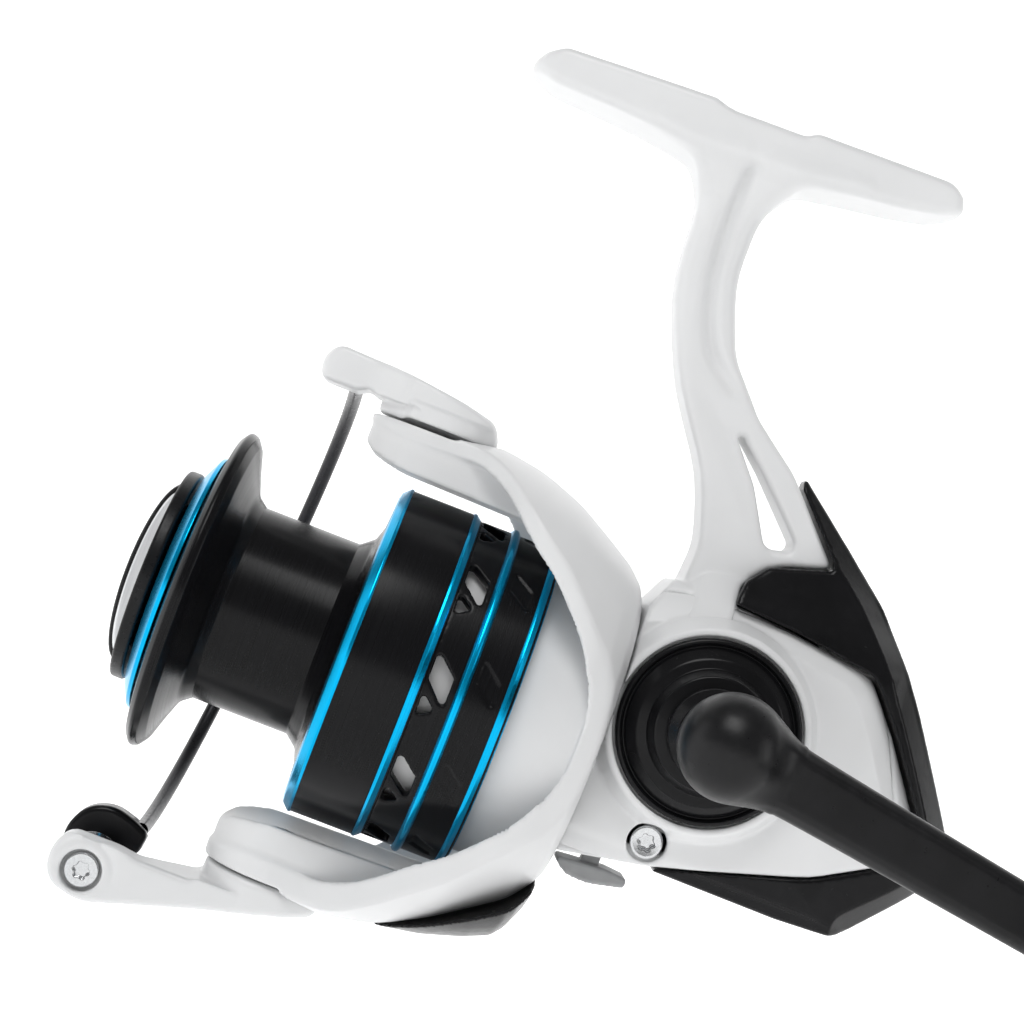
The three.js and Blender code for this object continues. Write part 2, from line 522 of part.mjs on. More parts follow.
// The rotor's thin shell, and the thicker core along the middle of each arm.
function rotorShell(outer) {
  const profile = [
    [ROTOR.rear, ROTOR.bore + 1], ...outer, [-63, 33.6], [-44, 34.3],
    [-37, 33.4], [-29.5, 31.2], [-22, 27.3],
    [-19.2, 25.1], [-17.8, 23.6], [-17.6, ROTOR.bore + 1], [ROTOR.rear, ROTOR.bore + 1],
  ];
  return turnedX(profile, SIDES.large);
}
function rotorCore() {
  const profile = [
    [-63, 34.5], [-63, 30.4], [-60.2, 29.4], [-31, ROTOR.armInner],
    [-27, 29.8], [-28, 31], [-38, 34.5], [-63, 34.5],
  ];
  return common(turnedX(profile, SIDES.large), block(-63, -20, -ROTOR.core, ROTOR.core, -50, 50));
}
function rotor() {
  const core = rotorCore();
  const shells = [
    common(join(rotorShell(ROTOR_OUT), core), prismZ(armPlan(), 2, 45)),
    common(join(rotorShell(ROTOR_OUT_LOW), core), prismZ(armPlan(), -45, -2)),
  ];
  const drum = turnedX([
    [ROTOR.rear, ROTOR.bore], [ROTOR.rear, ROTOR.drum],
    [ROTOR.front + 1, ROTOR.drum], [ROTOR.front, ROTOR.drum - 1],
    [ROTOR.front, PINION.radius + FIT], [ROTOR.face, PINION.radius + FIT], [ROTOR.face, ROTOR.bore],
    [ROTOR.rear, ROTOR.bore],
  ], SIDES.large);
  const upperSeat = rodZ(34.6, 45, 10.1, SIDES.middle);
  const lowerSeat = rodZ(-45, -36, 10.1, SIDES.middle);
  const upperHole = rodZ(29, 36, 1.5 + FIT, SIDES.tiny);
  const lowerHole = rodZ(-37, -29, 1.5 + FIT, SIDES.tiny);
  const coverRoom = prismY(COVER_ROOM, -30, 30);
  const springRoom = block(-35, -26.8, -2.4, 2.4, -40, -29.9);
  return cut(join(...shells, drum), upperSeat, lowerSeat, upperHole, lowerHole, coverRoom, springRoom);
}
const COVER_ROOM = rounded([
  [-13, -17.4], [-15, -20.6], [-17.9, -25.2], [-21, -27.4], [-25.7, -30.6], [-30.4, -33.6], [-36.6, -37.4],
  [-36, -42], [-13, -42],
]);
function armCover() {
  const outer = turnedX([
    [-14.8, 15], [-14.8, 24], [-15.4, 28], [-16.8, 31], [-18, 32.5],
    [-22, 34.2], [-28, 36], [-35.5, 37.2], [-35.5, 15],
    [-14.8, 15],
  ], SIDES.large);
  const inside = grown(COVER_ROOM, -FIT);
  return common(outer, prismY(inside, -30, 30), prismZ(armPlan(), -45, 0));
}
const bailSpring = () => placed(bar(new Helix(-34.4, -30.2, 1.2, 4), 0.35, 5, 26), 0, 0, 0, -31.5);
const rotorNut = () =>
  cut(prismX(circle(6.6, 6), -49.2, ROTOR.front - FIT), rodX(-60, 0, PINION.radius + FIT, SIDES.small));
const clutchSleeve = () => ringX(-29, -19.6, 6.5, PINION.radius + FIT, SIDES.middle);
const rollerClutch = () => ringX(-29, -19.4, NECK.clutch - FIT, 6.5 + RUN, SIDES.middle);
const clutchRetainer = () => ringX(-31.6, BODY.neckFront - FIT, BODY.neckRadius, 7.2, SIDES.middle);

// ---------------------------------------------------------------- bail
const PIVOT = { lower: -36.4, upper: 35, radius: 9.5, armTop: -39, leverLow: 37.1 };
const pivotDisc = (from, to) => rodZ(from, to, PIVOT.radius, SIDES.middle);
function bailArm() {
  const side = rounded([
    [-43, PIVOT.lower], [-61.9, PIVOT.lower], [-62.2, -39.4, 0.8], [-71, -39.4, 4], [-75.6, -37.4, 4],
    [-80.6, -37.4, 4], [-83.5, -42.4, 5], [-82.2, -47.2, 5],
    [-76.5, -48.4, 5], [-60, -43.3, 10], [-50, -40.6, 8],
    [-43, -39.2, 1.5],
  ]);
  const reach = rounded([
    [-52.4, -9.4], [-66, -8.9, 10], [-84, -8.8], [-84, -4.4],
    [-72, -4.4, 3], [-66, 1, 6], [-60, 7.2, 6], [-52.4, 9.4],
  ]);
  const holes = [
    rodY(-12, 0, 1.6 + FIT, SIDES.tiny, ROLLER.x, ROLLER.z),
    rodY(-12, -6.8, 2.9 + FIT, SIDES.small, ROLLER.x, ROLLER.z),
    rodZ(-60, 0, 1.5 + FIT, SIDES.tiny),
    rodZ(-60, -39.3, 3 + FIT, SIDES.small),
  ];
  const arm = join(prismZ(reach, -60, PIVOT.armTop), pivotDisc(-60, 0));
  return cut(common(prismY(side, -10, 10), arm), ...holes);
}
const rollerScrew = () =>
  cut(
    join(
      rodY(-8.4, -7.1, 2.9, SIDES.small, ROLLER.x, ROLLER.z),
      rodY(-8, 5.6, 1.6, SIDES.small, ROLLER.x, ROLLER.z),
    ),
    rodY(-9, -7.6, 1.2, 6, ROLLER.x, ROLLER.z),
  );
const lineRoller = () =>
  turnedY([
    [-4, 2.45], [-4, ROLLER.radius + 1], [-2.6, ROLLER.radius],
    [0.4, ROLLER.radius - 0.5], [1.6, ROLLER.radius + 1],
    [2.6, ROLLER.radius + 1], [2.6, 2.45], [-4, 2.45],
  ], SIDES.middle, ROLLER.x, ROLLER.z);
function wireHolder() {
  const side = rounded([
    [-71.6, -40.4, 1], [-71.2, -37.4, 1], [-74, -36.2, 3],
    [-77.5, -35.2, 5], [-81.6, -36.6, 4], [-83.6, -41, 4],
    [-82, -47.4, 5], [-76, -48.4, 5], [-73.4, -43.4, 4],
  ]);
  return cut(prismY(side, 3.1, 7.6), rodY(0, 6.4, 1.6 + FIT, SIDES.tiny, ROLLER.x, ROLLER.z));
}

// The bail wire bows round the far side of the spool, from the wire holder up to the upper lever.
const WIRE = { radius: 1.15, x: -69.8, lean: 2.9, low: -37.6, high: 38.6, near: 5.4, reach: 44.6 };
class WireCurve extends THREE.Curve {
  getPoint(t, target = new THREE.Vector3()) {
    const angle = Math.PI * (t - 0.5);
    const rise = Math.sin(angle);
    const middle = (WIRE.low + WIRE.high) / 2;
    const half = (WIRE.high - WIRE.low) / 2;
    return target.set(
      WIRE.x + WIRE.lean * rise,
      WIRE.near + WIRE.reach * Math.pow(Math.cos(angle), 0.9),
      middle + half * rise,
    );
  }
}
const bailWire = (extra = 0) => bar(new WireCurve(), WIRE.radius + extra, 8, 32);

function bailLever() {
  const side = rounded([
    [-62.4, PIVOT.upper], [-43, PIVOT.upper], [-43, 37, 1],
    [-44.6, 39.4, 2], [-50, 40.4, 10], [-62, 42, 10],
    [-70.6, 42.3, 2], [-72.7, 40, 2.4], [-71.6, 36.7, 1.4], [-66, 36.6], [-63, 37.4, 2],
  ]);
  const reach = rounded([
    [-54, -9.2], [-59, -8.4, 6], [-64, -3.6, 6], [-72.8, -2.2, 3],
    [-72.8, 6.6, 3], [-64, 6.8, 6], [-59, 8.4, 6], [-54, 9.2],
  ]);
  const holes = [rodZ(30, 50, 1.5 + FIT, SIDES.tiny), rodZ(38.6, 50, 3 + FIT, SIDES.small)];
  const end = common(prismZ(reach, 30, 45), block(-80, -64, -20, 20, 30, 45));
  const arm = join(prismZ(reach, PIVOT.leverLow, 45), end, pivotDisc(30, 45));
  return cut(common(prismY(side, -10, 10), arm), ...holes);
}
const pivotScrew = (side) => {
  const head = side > 0 ? [38.9, 40.3] : [-41.3, -39.9];
  const shank = side > 0 ? [31, 39.4] : [-40.4, -31];
  return join(rodZ(...head, 3, SIDES.small), rodZ(...shank, 1.5, SIDES.tiny));
};
// The sockets that the wire's ends sit in, a little deeper than the ends.
const WIRE_SOCKETS = [[WIRE.x - WIRE.lean, WIRE.low], [WIRE.x + WIRE.lean, WIRE.high]];
const wireRoom = () => {
  const [start, end] = [WIRE.near - FIT, WIRE.near + 1];
  const deeper = WIRE_SOCKETS.map(([x, z]) => rodY(start, end, WIRE.radius + FIT, SIDES.tiny, x, z));
  return join(bailWire(FIT), ...deeper);
};

// ---------------------------------------------------------------- spool and drag
function portCutters() {
  const port = { front: -41.2, rear: -37.9, count: 10, first: 24 };
  return Array.from({ length: port.count }, (_, i) => {
    const outline = [[port.front, 0.4], [port.front, 3.6], [port.rear, 2.6], [port.rear, -3.2]];
    const shape = extruded(outline.map(([x, y]) => new THREE.Vector2(x, y)), 6).translate(0, 0, 22);
    const angle = port.first + (360 / port.count) * i - 90;
    return solid(shape.rotateX(THREE.MathUtils.degToRad(angle)));
  });
}
function spoolBody() {
  const profile = [
    [-57, SHAFT.radius + FIT], [-66, SHAFT.radius + FIT], [-66, SPOOL.cavity], [SPOOL.lip, SPOOL.cavity],
    [SPOOL.lip, 20.2], [-79.4, 23.4], [-78.3, 25.1], [-77.3, 24.9],
    [-76.3, 23.7], [-75.2, 20], [-73.9, 16.2],
    [-72.5, SPOOL.arbor], [-57, SPOOL.arbor], [-54.9, 17.2], [-54.1, 24.5],
    [-52.3, 25.7], [-43.2, 25.7], [-42.4, 25.1],
    [-29, 25.1], [SPOOL.skirtRear, 24.6],
    [SPOOL.skirtRear, SPOOL.skirtInner], [SPOOL.wall, SPOOL.skirtInner],
    [SPOOL.wall, 12.8], [-61.5, 12.8], [-61.5, 6.4], [-57, 6.4], [-57, SHAFT.radius + FIT],
  ];
  return cut(turnedX(profile, SIDES.large), ...portCutters());
}
const lipRing = () =>
  turnedX([
    [SPOOL.lip - FIT, 14.2], [SPOOL.lip - FIT, 20.1], [-80.7, 19.8],
    [-82.2, 17.1], [-82.2, 14.2], [SPOOL.lip - FIT, 14.2],
  ], SIDES.large);
const supportWasher = () => ringX(-52.3, -50.9, 5, SHAFT.radius + FIT, SIDES.small);
const clickGear = () =>
  cut(prismX(gearOutline(12, 4.2, 5), -56.4, -54.4), rodX(-70, 0, SHAFT.radius + FIT, SIDES.small));
const clickPawl = () => join(block(-56.2, -55, 5.5, 10.6, -0.9, 0.9), rodX(-61.2, -54.8, 1.1, SIDES.tiny, 9.6, 0));
const dragWasher = (front, thick, inner) => ringX(front, front + thick, 12.4, inner, SIDES.middle);
const dragClip = () => ringX(-75.6, -74.6, 12.5, 10.6, SIDES.middle);
const dragNut = () =>
  cut(prismX(circle(4.6, 6), -81.6, -78.4), rodX(-90, 0, SHAFT.radius + FIT, SIDES.small));
const dragSpring = () => bar(new Helix(-77.9, -73.4, 3.6, 3), 0.45, 5, 24);

function domeProfile(inset) {
  const { band, dome: radius, nose } = KNOB;
  const depth = band - nose - inset;
  const points = Array.from({ length: 7 }, (_, i) => {
    const angle = (Math.PI / 2) * (i / 6);
    return [band - depth * Math.sin(angle), (radius - inset) * Math.cos(angle)];
  });
  points[points.length - 1][1] = 0;
  return [[band, 0], ...points];
}
function dragKnob() {
  const base = turnedX([
    [KNOB.rear, 7], [KNOB.rear, KNOB.radius], [KNOB.band, KNOB.radius],
    [KNOB.band, 0], [KNOB.rear - 0.6, 0], [KNOB.rear - 0.6, 7],
    [KNOB.rear, 7],
  ], SIDES.large);
  const middle = block(-95, KNOB.band + 0.5, -KNOB.fin, KNOB.fin, -20, 20);
  const fin = common(turnedX(domeProfile(0), SIDES.large), middle);
  const skirt = ringX(KNOB.rear - 0.5, -78.6, 11.4, 7, SIDES.middle);
  return cut(join(base, fin, skirt), rodX(SHAFT.front - FIT, -70, SHAFT.radius + FIT, SIDES.small));
}
function knobInlay(side) {
  const near = side < 0 ? -KNOB.fin - FIT - KNOB.plate : KNOB.fin + FIT;
  return common(
    turnedX(domeProfile(0.7), SIDES.large),
    block(-95, KNOB.band - FIT, near, near + KNOB.plate, -20, 20),
  );
}

// ---------------------------------------------------------------- pieces
piece("body_frame", WHITE, bodyFrame());
piece("side_cover", WHITE, sideCover());
piece("rear_guard", BLACK, rearGuard());
piece("cover_screw_1", STEEL, coverScrew(NEAR_SCREW));
FAR_SCREWS.forEach((place, i) => piece(`cover_screw_${i + 2}`, STEEL, farScrew(place)));
piece("bearing_cap", BLACK, bearingCap());
piece("near_bearing", STEEL, bearingY(-15.2, BEARING.inner));
piece("far_bearing", STEEL, bearingY(10.6, BEARING.inner));
piece("far_side_cap", BLACK, farCap());
piece("pinion_bearing", STEEL, ringX(-18.3, -14.3, BEARING.outer, PINION.radius + RUN, SIDES.middle));
piece("roller_clutch", ZINC, rollerClutch());
piece("clutch_retainer", BLACK, clutchRetainer());
piece("guide_rod", STEEL, guideRod());
piece("anti_reverse_lever", GREY, antiReverseLever());

piece("drive_gear", ZINC, driveGear());
piece("drive_shaft", STEEL, driveShaft());
piece("crank_collar", BLACK, crankCollar());
piece("crank_arm", BLACK, crankArm());
piece("knob_spindle", STEEL, knobSpindle());
piece("knob_body", RUBBER, knobBody());
piece("knob_bearing", STEEL, knobBearing());
piece("knob_cap", BLACK, knobCap());

piece("oscillation_gear", ZINC, oscillationGear());
piece("oscillation_slider", ZINC, slider());
piece("slider_screw", STEEL, sliderScrew());
piece("main_shaft", STEEL, mainShaft());
piece("spool_support", BRASS, supportWasher());

piece("pinion_gear", BRASS, pinion());
piece("rotor", WHITE, rotor());
piece("rotor_nut", STEEL, rotorNut());
piece("rotor_arm_cover", BLACK, armCover());
piece("clutch_sleeve", STEEL, clutchSleeve());
piece("bail_spring", STEEL, bailSpring());
piece("upper_pivot_screw", STEEL, pivotScrew(1));
piece("lower_pivot_screw", STEEL, pivotScrew(-1));

piece("bail_arm", WHITE, bailArm());
piece("bail_lever", WHITE, cut(bailLever(), wireRoom()));
piece("bail_wire", ANODISED, bailWire());
piece("wire_holder", BLACK, cut(wireHolder(), wireRoom()));
piece("roller_screw", STEEL, rollerScrew());
piece("line_roller", STEEL, lineRoller());

piece("spool_body", ANODISED, spoolBody());
piece("lip_ring", BLUE, lipRing());
piece("click_gear", ZINC, clickGear());
piece("click_pawl", STEEL, clickPawl());
piece("drag_washer_rear", FELT, dragWasher(-67.6, 1.3, SHAFT.radius + FIT));
piece("drag_washer_middle", STEEL, dragWasher(-69.3, 1.3, SHAFT.radius + FIT));
piece("drag_washer_front", FELT, dragWasher(-71, 1.3, SHAFT.radius + FIT));
piece("drag_plate", STEEL, dragWasher(-72.7, 1.3, SHAFT.radius + FIT));
piece("drag_clip", STEEL, dragClip());
piece("drag_spring", STEEL, dragSpring());
piece("drag_nut", BRASS, dragNut());
piece("drag_knob", BLACK, dragKnob());
piece("knob_inlay_near", SILVER, knobInlay(-1));
piece("knob_inlay_far", SILVER, knobInlay(1));

export default reel;
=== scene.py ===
"""The looks of the spinning reel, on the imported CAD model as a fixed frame.

The shapes are drawn in millimetres in the frame of the spool's axis: X along the axis with the spool
towards -X, Z up towards the rod, the crank on the -Y side, and the crank's axis at X = 0. to_frame()
moves them to the model's frame. Cast and moulded pieces are distance fields, which are outlines and
limits joined with round edges and then meshed. Turned pieces are lathed from a profile.
"""
import json
import math

import bmesh
import bpy
import numpy as np
from mathutils import Matrix, Vector


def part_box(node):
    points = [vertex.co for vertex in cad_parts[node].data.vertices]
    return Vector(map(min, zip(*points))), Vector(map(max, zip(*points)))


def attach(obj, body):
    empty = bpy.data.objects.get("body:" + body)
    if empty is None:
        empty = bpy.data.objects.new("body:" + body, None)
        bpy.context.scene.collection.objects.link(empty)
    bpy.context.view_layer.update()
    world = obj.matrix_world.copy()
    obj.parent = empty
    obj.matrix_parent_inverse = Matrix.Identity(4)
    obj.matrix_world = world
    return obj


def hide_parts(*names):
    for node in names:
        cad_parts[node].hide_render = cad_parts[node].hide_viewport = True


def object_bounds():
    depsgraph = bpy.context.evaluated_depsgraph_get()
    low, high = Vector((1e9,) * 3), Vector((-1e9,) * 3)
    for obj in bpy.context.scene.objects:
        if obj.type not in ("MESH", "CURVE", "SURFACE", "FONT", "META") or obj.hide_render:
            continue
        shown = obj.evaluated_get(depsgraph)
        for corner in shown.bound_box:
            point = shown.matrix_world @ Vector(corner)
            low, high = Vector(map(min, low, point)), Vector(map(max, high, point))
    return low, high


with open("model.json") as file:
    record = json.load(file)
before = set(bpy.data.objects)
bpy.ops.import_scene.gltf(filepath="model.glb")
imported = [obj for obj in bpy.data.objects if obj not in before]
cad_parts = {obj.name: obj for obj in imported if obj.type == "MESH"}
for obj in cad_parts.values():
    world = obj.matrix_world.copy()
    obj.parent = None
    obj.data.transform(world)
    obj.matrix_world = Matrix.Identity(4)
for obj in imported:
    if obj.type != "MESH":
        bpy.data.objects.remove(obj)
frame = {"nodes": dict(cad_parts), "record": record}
CAD_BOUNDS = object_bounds()

# ---- driving dimensions, in mm


def middle(node):
    low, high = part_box(node)
    return (low + high) / 2


MM = 0.001
ORIGIN = np.array([middle("bearing_cap").x, 0.0, middle("main_shaft").z])
DRIVE_Z = (middle("bearing_cap").z - ORIGIN[2]) / MM
SEAT = (-ORIGIN[0] / MM, -ORIGIN[2] / MM)
SEAT_TILT = math.radians(2.25)
CRANK_SLOPE = math.radians(9)
BAIL_X = (middle("upper_pivot_screw").x - ORIGIN[0]) / MM
HALF = 12.4
SEAM = -8.8
GAP = 0.3
WALL = 2.0


def to_frame(points):
    return np.asarray(points, float) * MM + ORIGIN


# ---- curves


def rounded(corners, closed=True):
    """Points of an outline with corners (u, v, radius); a corner with a radius becomes an arc."""
    points = []
    count = len(corners)
    for i, corner in enumerate(corners):
        here = np.array(corner[:2], float)
        radius = corner[2] if len(corner) > 2 else 0
        at_end = not closed and i in (0, count - 1)
        if radius == 0 or at_end:
            points.append(here)
            continue
        before = np.array(corners[i - 1][:2], float) - here
        after = np.array(corners[(i + 1) % count][:2], float) - here
        long_before, long_after = np.linalg.norm(before), np.linalg.norm(after)
        before, after = before / long_before, after / long_after
        half = math.acos(np.clip(before @ after, -1, 1)) / 2
        reach = min(radius / math.tan(half), long_before * 0.49, long_after * 0.49)
        towards = (before + after) / np.linalg.norm(before + after)
        centre = here + towards * reach / math.cos(half)
        start, end = here + before * reach - centre, here + after * reach - centre
        sweep = math.atan2(start[0] * end[1] - start[1] * end[0], start @ end)
        steps = max(2, math.ceil(abs(sweep) / math.radians(9)))
        for s in range(steps + 1):
            c, w = math.cos(sweep * s / steps), math.sin(sweep * s / steps)
            points.append(centre + np.array([start[0] * c - start[1] * w, start[0] * w + start[1] * c]))
    return np.array(points)


def flowing(points, steps=8):
    """Points of a smooth open curve through the given ones."""
    p = np.array(points, float)
    ends = np.vstack([2 * p[0] - p[1], p, 2 * p[-1] - p[-2]])
    made = []
    for a, b, c, d in zip(ends, ends[1:], ends[2:], ends[3:]):
        for t in np.linspace(0, 1, steps, endpoint=False):
            made.append(0.5 * (2 * b + (c - a) * t + (2 * a - 5 * b + 4 * c - d) * t**2
                               + (3 * b - 3 * c + d - a) * t**3))
    return np.array(made + [p[-1]])


def ramp(knots):
    """A smooth function through (at, value) knots, level beyond them."""
    table = flowing(knots, 12)
    return lambda at: np.interp(at, table[:, 0], table[:, 1])


def curve_distance(curve, closed, u, v):
    """How far the points (u, v) are from a curve, and whether they are inside it."""
    nearest = np.full(np.broadcast(u, v).shape, 1e9)
    inside = np.zeros(nearest.shape, bool)
    following = np.roll(curve, -1, 0) if closed else curve[1:]
    for a, b in zip(curve, following):
        du, dv = u - a[0], v - a[1]
        eu, ev = b - a
        t = np.clip((du * eu + dv * ev) / max(eu * eu + ev * ev, 1e-12), 0, 1)
        nearest = np.minimum(nearest, (du - t * eu) ** 2 + (dv - t * ev) ** 2)
        if closed and a[1] != b[1]:
            inside ^= ((a[1] > v) != (b[1] > v)) & (u < eu * (v - a[1]) / ev + a[0])
    return np.sqrt(nearest), inside


class Outline:
    """The signed distance to a curve in a plane, negative inside, kept in a softened table."""

    CELL = 0.35
    MARGIN = 6.0

    def __init__(self, curve, soft=0.25, closed=True):
        curve = np.asarray(curve, float)
        self.low = curve.min(0) - self.MARGIN
        count = np.ceil((curve.max(0) + self.MARGIN - self.low) / self.CELL).astype(int) + 4
        u = self.low[0] + self.CELL * np.arange(count[0])
        v = self.low[1] + self.CELL * np.arange(count[1])
        distance, inside = curve_distance(curve, closed, u[:, None], v[None, :])
        self.table = self.softened(np.where(inside, -distance, distance), soft / self.CELL)

    @staticmethod
    def softened(table, width):
        if width <= 0:
            return table
        reach = max(1, math.ceil(3 * width))
        kernel = np.exp(-0.5 * (np.arange(-reach, reach + 1) / width) ** 2)
        kernel /= kernel.sum()
        for axis in (0, 1):
            padding = [(reach, reach) if k == axis else (0, 0) for k in (0, 1)]
            padded = np.pad(table, padding, mode="edge")
            table = np.apply_along_axis(np.convolve, axis, padded, kernel, mode="valid")
        return table

    @staticmethod
    def weights(t):
        return (
            -0.5 * t + t * t - 0.5 * t**3,
            1 - 2.5 * t * t + 1.5 * t**3,
            0.5 * t + 2 * t * t - 1.5 * t**3,
            -0.5 * t * t + 0.5 * t**3,
        )

    def __call__(self, u, v):
        place = [(np.asarray(a) - low) / self.CELL for a, low in zip((u, v), self.low)]
        held = [np.clip(p, 1, n - 2.001) for p, n in zip(place, self.table.shape)]
        cell = [np.floor(h).astype(np.int32) for h in held]
        wu, wv = (self.weights(h - c) for h, c in zip(held, cell))
        total = 0.0
        for a in range(4):
            row = sum(self.table[cell[0] + a - 1, cell[1] + b - 1] * wv[b] for b in range(4))
            total = total + row * wu[a]
        beyond = np.hypot(place[0] - held[0], place[1] - held[1]) * self.CELL
        return (total + beyond).astype(np.asarray(u).dtype)


# ---- distance fields


def both(a, b, radius=0.4):
    """What is inside a and b, its edge rounded to the radius."""
    over_a, over_b = np.maximum(a + radius, 0), np.maximum(b + radius, 0)
    return np.minimum(np.maximum(a, b), -radius) + np.hypot(over_a, over_b)


def either(a, b, radius=0.4):
    """What is inside a or b, with a fillet of the radius between them."""
    return -both(-a, -b, radius)


def without(a, b, radius=0.4):
    return both(a, -b, radius)


def between(value, low, high):
    return np.abs(value - (low + high) / 2) - (high - low) / 2


def prism(outline, across, low, high, radius=0.4):
    return both(outline, between(across, low, high), radius)


def ball(x, y, z, radius):
    return np.sqrt(x * x + y * y + z * z) - radius


def soft_step(value, width):
    return np.clip(value / width + 0.5, 0, 1)


# ---- meshes


CORNERS = np.array([(i, j, k) for i in (0, 1) for j in (0, 1) for k in (0, 1)])
EDGES = [(a, b) for a in range(8) for b in range(a + 1, 8) if np.abs(CORNERS[a] - CORNERS[b]).sum() == 1]
TETRAHEDRON = np.array([(1, -1, -1), (-1, -1, 1), (-1, 1, -1), (1, 1, 1)])


def net_points(values, cells):
    """For each mixed cell, the middle of the places where its edges cross the surface."""
    corner = [values[tuple((cells + c).T)] for c in CORNERS]
    total, crossings = np.zeros(cells.shape), np.zeros(len(cells))
    for a, b in EDGES:
        crossed = (corner[a] < 0) != (corner[b] < 0)
        spread = np.where(crossed, corner[a] - corner[b], 1)
        t = np.where(crossed, corner[a] / spread, 0)
        total += crossed[:, None] * (CORNERS[a] + t[:, None] * (CORNERS[b] - CORNERS[a]))
        crossings += crossed
    return cells + total / crossings[:, None]


def net_faces(inside, number):
    """A quad across each grid edge that crosses the surface."""
    faces = []
    for axis in range(3):
        along, up, side = np.eye(3, dtype=int)[[axis, (axis + 1) % 3, (axis + 2) % 3]]
        size = np.array(inside.shape) - along
        start = inside[tuple(slice(0, n) for n in size)]
        end = inside[tuple(slice(n, None) for n in along)]
        crossed = np.argwhere(start != end)
        room = np.array(number.shape)
        kept = ((crossed - up - side >= 0).all(1)) & ((crossed < room).all(1))
        crossed = crossed[kept]
        shifts = (np.zeros(3, int), up, up + side, side)
        quad = np.array([number[tuple((crossed - shift).T)] for shift in shifts]).T
        outward = start[tuple(crossed.T)]
        faces.append(np.where(outward[:, None], quad, quad[:, ::-1]))
    return np.vstack(faces)


def settled(points, field, step, rounds=3):
    """The points moved onto the surface."""
    reach = 0.05
    for _ in range(rounds):
        around = [field(*(points + reach * corner).T) for corner in TETRAHEDRON]
        value = sum(around) / 4
        slope = sum(a[:, None] * corner for a, corner in zip(around, TETRAHEDRON)) / (4 * reach)
        length = np.maximum((slope**2).sum(1), 0.2)
        move = slope * (value / length)[:, None]
        far = np.maximum(np.linalg.norm(move, axis=1) / (0.6 * step), 1)
        points = points - move / far[:, None]
    return points


def mesh_object(name, points, faces):
    mesh = bpy.data.meshes.new(name)
    points = to_frame(points)
    mesh.vertices.add(len(points))
    mesh.vertices.foreach_set("co", points.ravel())
    faces = np.asarray(faces, np.int32)
    mesh.loops.add(faces.size)
    mesh.loops.foreach_set("vertex_index", faces.ravel())
    mesh.polygons.add(len(faces))
    mesh.polygons.foreach_set("loop_start", np.arange(0, faces.size, faces.shape[1], dtype=np.int32))
    mesh.update(calc_edges=True)
    mesh.validate()
    mesh.shade_smooth()
    made = bpy.data.objects.new(name, mesh)
    bpy.context.scene.collection.objects.link(made)
    return made


def skin(name, field, low, high, step=0.4):
    """The surface of a field inside a box, as a mesh."""
    step = step * 1
    axes = [np.arange(a, b + step, step, dtype=np.float32) for a, b in zip(low, high)]
    x, y, z = axes[0][:, None, None], axes[1][None, :, None], axes[2][None, None, :]
    shape = tuple(len(a) for a in axes)
    values = np.broadcast_to(field(x, y, z), shape)
    inside = values < 0
    counts = sum(inside[i:shape[0] - 1 + i, j:shape[1] - 1 + j, k:shape[2] - 1 + k].astype(np.uint8)
                 for i, j, k in CORNERS)
    mixed = (counts > 0) & (counts < 8)
    cells = np.argwhere(mixed)
    number = np.full(mixed.shape, -1, np.int32)
    number[mixed] = np.arange(len(cells))
    points = np.array(low) + net_points(values, cells) * step
    points = settled(points, field, step)
    return mesh_object(name, points, net_faces(inside, number))


def lathe(name, profile, axis="X", centre=(0.0, 0.0), sides=160):
    """A closed profile of (along, radius, corner radius) turned about an X or Y axis through centre."""
    sides = sides
    curve = rounded(profile)
    on_axis = curve[:, 1] < 1e-6
    angle = np.linspace(0, 2 * math.pi, sides, endpoint=False)
    c, s = np.cos(angle)[:, None], np.sin(angle)[:, None]
    radius = curve[None, :, 1]
    along = np.broadcast_to(curve[None, :, 0], (sides, len(curve)))
    if axis == "X":
        rings = np.stack([along, centre[0] + radius * c, centre[1] + radius * s], 2)
    else:
        rings = np.stack([centre[0] + radius * s, along, centre[1] + radius * c], 2)
    count = len(curve)
    faces = []
    for i in range(sides):
        n = (i + 1) % sides
        for j in range(count):
            k = (j + 1) % count
            if not (on_axis[j] and on_axis[k]):
                faces.append((i * count + j, i * count + k, n * count + k, n * count + j))
    made = mesh_object(name, rings.reshape(-1, 3), faces)
    tidy(made, sharp=35)
    return made


def tidy(obj, sharp):
    """Merges doubled points, turns the faces outwards and marks the sharp edges."""
    work = bmesh.new()
    work.from_mesh(obj.data)
    bmesh.ops.remove_doubles(work, verts=work.verts, dist=1e-6)
    bmesh.ops.dissolve_degenerate(work, edges=work.edges, dist=1e-7)
    bmesh.ops.recalc_face_normals(work, faces=work.faces)
    work.to_mesh(obj.data)
    work.free()
    obj.data.shade_smooth()
    obj.data.set_sharp_from_angle(angle=math.radians(sharp))


def tube(name, path, radius, sides=20):
    """A round bar along a path of points, closed with flat ends."""
    path = np.array(path, float)
    forward = np.gradient(path, axis=0)
    forward /= np.linalg.norm(forward, axis=1)[:, None]
    side = np.cross(forward[0], (0.0, 1.0, 0.3))
    rings = []
    for point, along in zip(path, forward):
        side = side - along * (side @ along)
        side /= np.linalg.norm(side)
        up = np.cross(along, side)
        angle = np.linspace(0, 2 * math.pi, sides, endpoint=False)[:, None]
        rings.append(point + radius * (np.cos(angle) * side + np.sin(angle) * up))
    points = np.vstack(rings + [path[:1], path[-1:]])
    faces = []
    for i in range(len(path) - 1):
        for j in range(sides):
            n = (j + 1) % sides
            a, b = i * sides, (i + 1) * sides
            faces.append((a + j, a + n, b + n, b + j))
    first, last = len(points) - 2, len(points) - 1
    end = (len(path) - 1) * sides
    for j in range(sides):
        n = (j + 1) % sides
        faces += [(first, n, j, first), (last, end + j, end + n, last)]
    made = mesh_object(name, points, faces)
    tidy(made, sharp=50)
    return made


# ---- materials


